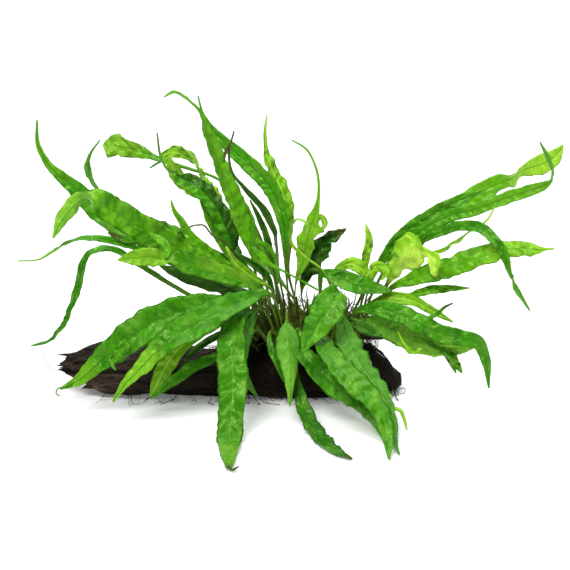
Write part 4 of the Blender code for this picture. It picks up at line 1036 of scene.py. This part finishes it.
def build_loose_roots(material):
    """Roots that leave the log, and finer ones that lie on the floor in front of it."""
    rng = random.Random("loose roots")
    verts = []
    faces = []
    for rows, radius in LOOSE_ROOTS:
        points = [seen_point(*row) for row in rows]
        points = smooth_route(points, [radius] * len(points))[0]
        for point in points:
            point.z = max(point.z, 0.5)
        tube(points, [radius * 0.7] * len(points), 6, verts, faces)
    for number in range(FLOOR_ROOTS):
        x = rng.uniform(-62, 82)
        point = skin_point(x, math.pi + 0.35, -0.5)
        heading = -math.pi / 2 + rng.uniform(-1.1, 1.1)
        route = [point]
        for i in range(rng.randrange(4, 9)):
            heading += rng.uniform(-0.6, 0.6)
            point = point + Vector((math.cos(heading), math.sin(heading) * 0.8, -0.9)) * 1.3
            point.z = max(point.z, 0.4)
            route.append(point)
        radius = rng.uniform(0.07, 0.13)
        tube(smooth_values(route, [1.3] * (len(route) - 1), 2), [radius] * (2 * len(route) - 1), 4, verts, faces)
    piece_from("loose_roots", verts, faces, material, {"crest": [0.6] * len(verts)})


# Rhizome
HAIRS_END = 74.0


def build_rhizomes(material, hair_material):
    rng = random.Random("rhizome")
    hair_verts = []
    hair_faces = []
    for name, points in STRANDS.items():
        dense = smooth_route([Vector((x, y, RHIZOME_Z)) for x, y in points], [0.0] * len(points))[0]
        places, (line,) = evenly(dense, 0.5)
        radii = []
        for s in places:
            ends = smoothstep(-0.5, 3.0, s) * smoothstep(-0.5, 3.0, places[-1] - s)
            radii.append(RHIZOME_RADIUS * (0.35 + 0.65 * ends) * 0.95)
        verts = []
        faces = []
        tube(line, radii, 28, verts, faces)
        for point in verts:
            point += Vector((0, 0.3, 0.6)) * (0.7 * noise.fractal(point * 0.55, 0.8, 2.0, 4))
        strand = piece_from("fine_" + name, verts, faces, material,
                            {"crest": [0.5 + 0.5 * noise.noise(p * 0.7) for p in verts]})
        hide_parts(name)
        for number in range(int(len(line) * 2.6)):
            at = rng.randrange(len(line))
            if line[at].x > HAIRS_END:
                continue
            angle = rng.uniform(0, 2 * math.pi)
            out = Vector((rng.uniform(-0.6, 0.6), math.cos(angle), math.sin(angle) * 0.5 - 0.35)).normalized()
            root = line[at] + out * 1.6
            route = [root.copy()]
            direction = out.copy()
            for i in range(rng.randrange(4, 11)):
                direction += Vector((rng.uniform(-0.5, 0.5), rng.uniform(-0.5, 0.5), rng.uniform(-0.8, 0.0)))
                direction.normalize()
                root = root + direction * 1.4
                route.append(root.copy())
            route = smooth_values(route, [1.4] * (len(route) - 1), 2)
            radius = rng.uniform(0.09, 0.2)
            tube(route, [radius * (1 - 0.5 * i / len(route)) for i in range(len(route))], 4, hair_verts, hair_faces)
    piece_from("rhizome_hairs", hair_verts, hair_faces, hair_material,
               {"crest": [0.9] * len(hair_verts)})


TANGLE = 620
TANGLE_TURN = 0.6
STUBS = 150


def build_crown(material):
    """Old leaf stalks and brown roots that crowd the middle of the plant."""
    rng = random.Random("crown")
    verts = []
    faces = []
    crest = []
    for number in range(TANGLE + STUBS):
        stub = number >= TANGLE
        strand = rng.choice(list(STRANDS))
        points = STRANDS[strand]
        x = rng.uniform(points[0][0], min(points[-1][0], 62))
        base, out = strand_base(strand, x, rng.uniform(-1.2, 1.2))
        base -= out * 1.2
        if stub:
            lean = Vector(((x - 32) / 22 + rng.uniform(-0.6, 0.6), rng.uniform(-0.5, 0.5), 1.0))
            turn, steps, radius = 0.16, rng.randrange(5, 11), rng.uniform(0.4, 0.75)
        else:
            lean = Vector((rng.uniform(-1.1, 1.1), rng.uniform(-0.7, 0.5), rng.uniform(-0.2, 0.9)))
            turn, steps, radius = TANGLE_TURN, rng.randrange(5, 12), rng.uniform(0.12, 0.36)
        direction = (out + lean).normalized()
        route = [base]
        for i in range(steps):
            wander = Vector([rng.uniform(-turn, turn) for axis in range(3)])
            direction = (direction + wander).normalized()
            route.append(route[-1] + direction * rng.uniform(1.4, 2.6))
        route = smooth_values(route, [2.0] * steps, 2)
        tube(route, [radius * (1 - 0.55 * i / len(route)) for i in range(len(route))], 5, verts, faces)
        shade = rng.uniform(0.0, 0.8) ** 1.5
        crest += [shade] * (len(verts) - len(crest))
    piece_from("crown_stalks", verts, faces, material, {"crest": crest})


# Node wiring
def add(tree, kind, inputs=None, **settings):
    node = tree.nodes.new(kind)
    for key, value in settings.items():
        setattr(node, key, value)
    for key, value in (inputs or {}).items():
        socket = node.inputs[key]
        if isinstance(value, bpy.types.NodeSocket):
            tree.links.new(value, socket)
        else:
            socket.default_value = value
    return node


def sums(tree, operation, *values):
    return add(tree, "ShaderNodeMath", dict(enumerate(values)), operation=operation).outputs[0]


def fade(tree, value, low, high, start=0.0, end=1.0):
    """A value eased from one range to another."""
    node = add(tree, "ShaderNodeMapRange", {
        "Value": value, "From Min": low, "From Max": high, "To Min": start, "To Max": end,
    }, interpolation_type="SMOOTHSTEP")
    return node.outputs["Result"]


def blend(tree, share, first, second):
    node = add(tree, "ShaderNodeMix", {0: share, 6: first, 7: second}, data_type="RGBA", clamp_factor=True)
    return node.outputs[2]


def speckle(tree, vector, scale, detail=3.0):
    return add(tree, "ShaderNodeTexNoise", {"Vector": vector, "Scale": scale, "Detail": detail}).outputs["Fac"]


def marked(tree, name):
    return add(tree, "ShaderNodeAttribute", attribute_name=name).outputs["Fac"]


def new_group(name, inputs, outputs):
    group = bpy.data.node_groups.new(name, "ShaderNodeTree")
    for label, kind, value in inputs:
        socket = group.interface.new_socket(label, in_out="INPUT", socket_type=kind)
        socket.default_value = value
    for label, kind in outputs:
        group.interface.new_socket(label, in_out="OUTPUT", socket_type=kind)
    source = group.nodes.new("NodeGroupInput")
    result = group.nodes.new("NodeGroupOutput")
    return group, source.outputs, result.inputs


COLOUR = "NodeSocketColor"
NUMBER = "NodeSocketFloat"


def leaf_tissue():
    """Leaf colour, gloss and relief: veins, mottling, midrib with painted groove shade, painted sheen patches, stalk
    and tone patches.
    """
    group, given, result = new_group("leaf_tissue", [
        ("Deep", COLOUR, (0.02, 0.15, 0.01, 1)),
        ("Light", COLOUR, (0.06, 0.3, 0.01, 1)),
        ("Pale", COLOUR, (0.3, 0.5, 0.05, 1)),
        ("Dark", COLOUR, (0.006, 0.04, 0.004, 1)),
        ("Midrib Tone And Shade", COLOUR, (0.2, 0.4, 0.05, 1)),
        ("Underside", COLOUR, (0.12, 0.3, 0.06, 1)),
        ("Stalk", COLOUR, (0.075, 0.150, 0.012, 1)),
        ("Brown", COLOUR, (0.045, 0.028, 0.008, 1)),
        ("Painted Sheen", COLOUR, (0.15, 0.32, 0.035, 1)),
        ("Painted Sheen Amount", NUMBER, 0.35),
        ("Vein Spacing", NUMBER, VEIN_SPACING),
    ], [("Colour", COLOUR), ("Roughness", NUMBER), ("Height", NUMBER)])
    tree = group
    across = marked(tree, "across")
    along = marked(tree, "along")
    under = marked(tree, "under")
    distance = sums(tree, "ABSOLUTE", across)
    place = add(tree, "ShaderNodeCombineXYZ", {"X": along, "Y": across, "Z": under}).outputs[0]
    lumps = speckle(tree, place, 0.16, 4.0)
    mottle = speckle(tree, place, 0.9, 3.0)
    wobble = sums(tree, "MULTIPLY", sums(tree, "SUBTRACT", speckle(tree, place, 0.3), 0.5), 2.4)
    rise = sums(tree, "MULTIPLY", distance, VEIN_SLANT)
    path = sums(tree, "ADD", sums(tree, "SUBTRACT", along, rise), wobble)
    hand = sums(tree, "MULTIPLY", sums(tree, "GREATER_THAN", across, 0.0), 0.5)
    step = sums(tree, "ADD", sums(tree, "DIVIDE", path, given["Vein Spacing"]), hand)
    swing = sums(tree, "ABSOLUTE", sums(tree, "SUBTRACT", sums(tree, "FRACT", step), 0.5))
    vein = sums(tree, "MULTIPLY", fade(tree, swing, 0.40, 0.5), fade(tree, mottle, 0.35, 0.65))
    cells = add(tree, "ShaderNodeTexVoronoi", {"Vector": place, "Scale": 0.6},
                feature="DISTANCE_TO_EDGE").outputs["Distance"]
    net = fade(tree, cells, 0.0, 0.1, 1.0, 0.0)
    rib = fade(tree, distance, 0.18, 0.5, 1.0, 0.0)
    tone = sums(tree, "MULTIPLY", marked(tree, "tone"), 0.18)
    mix = fade(tree, sums(tree, "ADD", lumps, tone), 0.3, 0.72)
    colour = blend(tree, mix, given["Deep"], given["Light"])
    # Painted sheen: pale grey-green patches laid at random over the blade in place of soft gloss highlights.
    painted_sheen = sums(tree, "MULTIPLY", fade(tree, speckle(tree, place, 0.1, 3.0), 0.46, 0.68), given["Painted Sheen Amount"])
    colour = blend(tree, painted_sheen, colour, given["Painted Sheen"])
    pale = sums(tree, "MULTIPLY", marked(tree, "pale"), fade(tree, mottle, 0.1, 0.7, 0.5, 1.15))
    colour = blend(tree, pale, colour, given["Pale"])
    dark = sums(tree, "MULTIPLY", marked(tree, "dark"), fade(tree, mottle, 0.2, 0.6, 0.5, 1.0))
    colour = blend(tree, dark, colour, given["Dark"])
    colour = blend(tree, sums(tree, "MULTIPLY", under, 0.65), colour, given["Underside"])
    lines = sums(tree, "MAXIMUM", sums(tree, "MULTIPLY", vein, 0.22), sums(tree, "MULTIPLY", net, 0.22))
    colour = blend(tree, lines, colour, given["Dark"])
    # Midrib band: painted shade in the midrib groove where the midrib colour is darker than the blade; the pale slot's
    # lighter midrib is the leaf's own tone.
    rib = sums(tree, "MULTIPLY", rib, fade(tree, lumps, 0.35, 0.6, 0.35, 0.8))
    colour = blend(tree, rib, colour, given["Midrib Tone And Shade"])
    colour = blend(tree, marked(tree, "stalk"), colour, given["Stalk"])
    colour = blend(tree, sums(tree, "MULTIPLY", marked(tree, "brown"), fade(tree, mottle, 0.25, 0.5, 0.6, 1.0)),
                   colour, given["Brown"])
    tree.links.new(colour, result["Colour"])
    rough = fade(tree, mottle, 0.25, 0.75, 0.20, 0.40)
    rough = sums(tree, "ADD", rough, sums(tree, "MULTIPLY", under, 0.14))
    tree.links.new(rough, result["Roughness"])
    relief = sums(tree, "SUBTRACT", sums(tree, "MULTIPLY", mottle, 0.5), sums(tree, "MULTIPLY", vein, 0.8))
    relief = sums(tree, "SUBTRACT", relief, sums(tree, "MULTIPLY", net, 0.35))
    tree.links.new(relief, result["Height"])
    return group


def bark_grain():
    """Wet bark or wood: long grain, pits, crest tone; where the crest mark follows the surface's depth, the darker
    hollows are painted shade.
    """
    group, given, result = new_group("bark_grain", [
        ("Hollow", COLOUR, (0.0015, 0.0012, 0.001, 1)),
        ("Crest", COLOUR, (0.011, 0.008, 0.006, 1)),
        ("Patch", COLOUR, (0.034, 0.019, 0.010, 1)),
        ("Heart", COLOUR, (0.085, 0.052, 0.034, 1)),
        ("Patch Amount", NUMBER, 0.4),
        ("Grain Scale", NUMBER, 900.0),
        ("Grain Stretch", NUMBER, 0.12),
    ], [("Colour", COLOUR), ("Roughness", NUMBER), ("Height", NUMBER)])
    tree = group
    place = add(tree, "ShaderNodeTexCoord").outputs["Object"]
    parts = add(tree, "ShaderNodeSeparateXYZ", {0: place}).outputs
    long = sums(tree, "MULTIPLY", parts["X"], given["Grain Stretch"])
    grain_place = add(tree, "ShaderNodeCombineXYZ", {"X": long, "Y": parts["Y"], "Z": parts["Z"]}).outputs[0]
    grain = add(tree, "ShaderNodeTexNoise", {
        "Vector": grain_place, "Scale": given["Grain Scale"], "Detail": 4.0}).outputs["Fac"]
    coarse = speckle(tree, place, 70.0, 4.0)
    pits = speckle(tree, place, 1100.0, 2.0)
    # Low crest gives the Hollow colour: painted shade in the grooves of the log, splinters and root mat, a plain or
    # random tone on the other pieces.
    crest = marked(tree, "crest")
    tone = sums(tree, "MULTIPLY", crest, fade(tree, grain, 0.3, 0.7, 0.4, 1.2))
    colour = blend(tree, tone, given["Hollow"], given["Crest"])
    patch = sums(tree, "MULTIPLY", fade(tree, coarse, 0.52, 0.68), given["Patch Amount"])
    patch = sums(tree, "MULTIPLY", patch, fade(tree, grain, 0.35, 0.65))
    colour = blend(tree, patch, colour, given["Patch"])
    bare = sums(tree, "MULTIPLY", marked(tree, "heart"), fade(tree, grain, 0.3, 0.6, 0.3, 1.0))
    colour = blend(tree, bare, colour, given["Heart"])
    tree.links.new(colour, result["Colour"])
    tree.links.new(fade(tree, pits, 0.3, 0.7, 0.45, 0.85), result["Roughness"])
    height = sums(tree, "ADD", sums(tree, "MULTIPLY", grain, 0.8), sums(tree, "MULTIPLY", pits, 0.35))
    tree.links.new(height, result["Height"])
    return group


def finish_material(name, group, values, bump, depth, **shader_values):
    material = bpy.data.materials.new(name)
    material.use_nodes = True
    tree = material.node_tree
    shader = tree.nodes["Principled BSDF"]
    for key, value in shader_values.items():
        shader.inputs[key.replace("_", " ")].default_value = value
    effect = add(tree, "ShaderNodeGroup", node_tree=group)
    for key, value in values.items():
        effect.inputs[key].default_value = value
    tree.links.new(effect.outputs["Colour"], shader.inputs["Base Color"])
    tree.links.new(effect.outputs["Roughness"], shader.inputs["Roughness"])
    relief = add(tree, "ShaderNodeBump", {"Strength": bump, "Distance": depth, "Height": effect.outputs["Height"]})
    tree.links.new(relief.outputs["Normal"], shader.inputs["Normal"])
    return material


# Leaf slot: deep, light, pale, dark, midrib and underside colours; a midrib colour darker than the blade is painted
# shade in the midrib groove, the pale slot's lighter one is its own tone
LEAF_TONES = {
    "leaf_fresh": ((0.030, 0.180, 0.001), (0.110, 0.370, 0.004), (0.320, 0.580, 0.030),
                   (0.008, 0.070, 0.001), (0.060, 0.250, 0.003), (0.120, 0.350, 0.030)),
    "leaf_deep": ((0.012, 0.115, 0.001), (0.045, 0.250, 0.003), (0.240, 0.520, 0.020),
                  (0.004, 0.045, 0.001), (0.020, 0.130, 0.002), (0.080, 0.260, 0.030)),
    "leaf_dark": ((0.005, 0.042, 0.001), (0.021, 0.125, 0.004), (0.180, 0.420, 0.020),
                  (0.003, 0.020, 0.001), (0.010, 0.060, 0.002), (0.045, 0.150, 0.020)),
    "leaf_pale": ((0.130, 0.340, 0.004), (0.270, 0.550, 0.022), (0.480, 0.720, 0.080),
                  (0.050, 0.200, 0.003), (0.360, 0.620, 0.060), (0.280, 0.500, 0.070)),
}


def make_materials():
    tissue = leaf_tissue()
    bark = bark_grain()
    made = {}
    for name, tones in LEAF_TONES.items():
        labels = ("Deep", "Light", "Pale", "Dark", "Midrib Tone And Shade", "Underside")
        values = {label: (*tone, 1.0) for label, tone in zip(labels, tones)}
        made[name] = finish_material(name + "_fine", tissue, values, 0.4, 0.0004,
                                     Specular_IOR_Level=0.45, Specular_Tint=(0.6, 1.0, 0.25, 1.0))
    made["driftwood_bark"] = finish_material("driftwood_fine", bark, {}, 0.9, 0.0006,
                                             Specular_IOR_Level=0.3, Specular_Tint=(1.0, 0.8, 0.65, 1.0))
    made["root_fibre"] = finish_material("root_fibre_fine", bark, {
        "Hollow": (0.0010, 0.0008, 0.0006, 1), "Crest": (0.016, 0.011, 0.007, 1),
        "Patch": (0.045, 0.028, 0.014, 1), "Patch Amount": 0.5, "Grain Scale": 600.0,
        "Grain Stretch": 1.0}, 0.8, 0.0005, Specular_IOR_Level=0.2, Specular_Tint=(1.0, 0.8, 0.6, 1.0))
    made["crown"] = finish_material("crown_fine", bark, {
        "Hollow": (0.022, 0.030, 0.003, 1), "Crest": (0.150, 0.230, 0.012, 1),
        "Patch": (0.160, 0.110, 0.012, 1), "Patch Amount": 0.8, "Grain Scale": 300.0,
        "Grain Stretch": 1.0}, 0.4, 0.0003, Specular_Tint=(0.9, 1.0, 0.4, 1.0))
    made["rhizome_bark"] = finish_material("rhizome_fine", bark, {
        "Hollow": (0.010, 0.010, 0.004, 1), "Crest": (0.060, 0.070, 0.014, 1),
        "Patch": (0.100, 0.060, 0.020, 1), "Patch Amount": 0.7, "Grain Scale": 500.0,
        "Grain Stretch": 0.5}, 0.8, 0.0004)
    return made


# Floor, light and camera: the lamps' places and aims in metres, sizes and watts
WORLD_LIGHT = 0.35
WORLD_SHEEN = 0.06
FLOOR_GLOW = 0.13
LAMPS = [
    ("key_light", (-0.35, -0.55, 1.15), (0.03, 0.0, 0.06), 0.6, 17.0),
    ("top_light", (0.25, 0.25, 1.2), (0.03, 0.0, 0.06), 0.8, 6.5),
    ("right_light", (1.0, -0.5, 0.6), (0.03, 0.0, 0.06), 0.6, 3.0),
    ("far_light", (0.05, 1.5, 1.2), (0.05, 1.5, 0.0), 1.8, 24.0),
]


def build_studio():
    bpy.ops.mesh.primitive_plane_add(size=12.0, location=(0, 0, 0))
    floor = bpy.context.object
    floor.name = "floor"
    material = bpy.data.materials.new("floor_paper")
    material.use_nodes = True
    tree = material.node_tree
    shader = tree.nodes["Principled BSDF"]
    shader.inputs["Roughness"].default_value = 0.35
    shader.inputs["Emission Color"].default_value = (1.0, 1.0, 1.0, 1.0)
    shader.inputs["Emission Strength"].default_value = FLOOR_GLOW
    place = add(tree, "ShaderNodeTexCoord").outputs["Object"]
    tint = blend(tree, speckle(tree, place, 3.0), (0.90, 0.905, 0.91, 1), (0.93, 0.93, 0.93, 1))
    tree.links.new(tint, shader.inputs["Base Color"])
    floor.data.materials.append(material)
    world = bpy.data.worlds.new("studio")
    world.use_nodes = True
    tree = world.node_tree
    glossy = add(tree, "ShaderNodeLightPath").outputs["Is Glossy Ray"]
    strength = fade(tree, glossy, 0.0, 1.0, WORLD_LIGHT, WORLD_SHEEN)
    tree.nodes["Background"].inputs["Color"].default_value = (1.0, 1.0, 1.0, 1.0)
    tree.links.new(strength, tree.nodes["Background"].inputs["Strength"])
    bpy.context.scene.world = world
    for name, place, aim, size, power in LAMPS:
        lamp = bpy.data.lights.new(name, "AREA")
        lamp.shape = "SQUARE"
        lamp.size = size
        lamp.energy = power
        item = bpy.data.objects.new(name, lamp)
        item.location = place
        item.rotation_euler = (Vector(aim) - Vector(place)).to_track_quat("-Z", "Y").to_euler()
        bpy.context.scene.collection.objects.link(item)


def build_camera():
    camera = bpy.data.cameras.new("view")
    camera.sensor_width = SENSOR
    camera.lens = SENSOR * EYE_DISTANCE / VIEW_SPAN
    item = bpy.data.objects.new("view", camera)
    item.location = EYE * MM
    item.rotation_euler = (math.pi / 2 - EYE_RISE, 0.0, 0.0)
    bpy.context.scene.collection.objects.link(item)
    bpy.context.scene.camera = item
    bpy.context.scene.view_settings.view_transform = "Standard"


def main():
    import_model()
    materials = make_materials()
    build_camera()
    build_studio()
    build_driftwood(materials["driftwood_bark"])
    build_splinters(materials["driftwood_bark"])
    build_root_mat(materials["root_fibre"])
    build_mat_hairs(materials["root_fibre"])
    build_loose_roots(materials["root_fibre"])
    build_rhizomes(materials["rhizome_bark"], materials["root_fibre"])
    build_crown(materials["crown"])
    build_leaves(materials)


main()
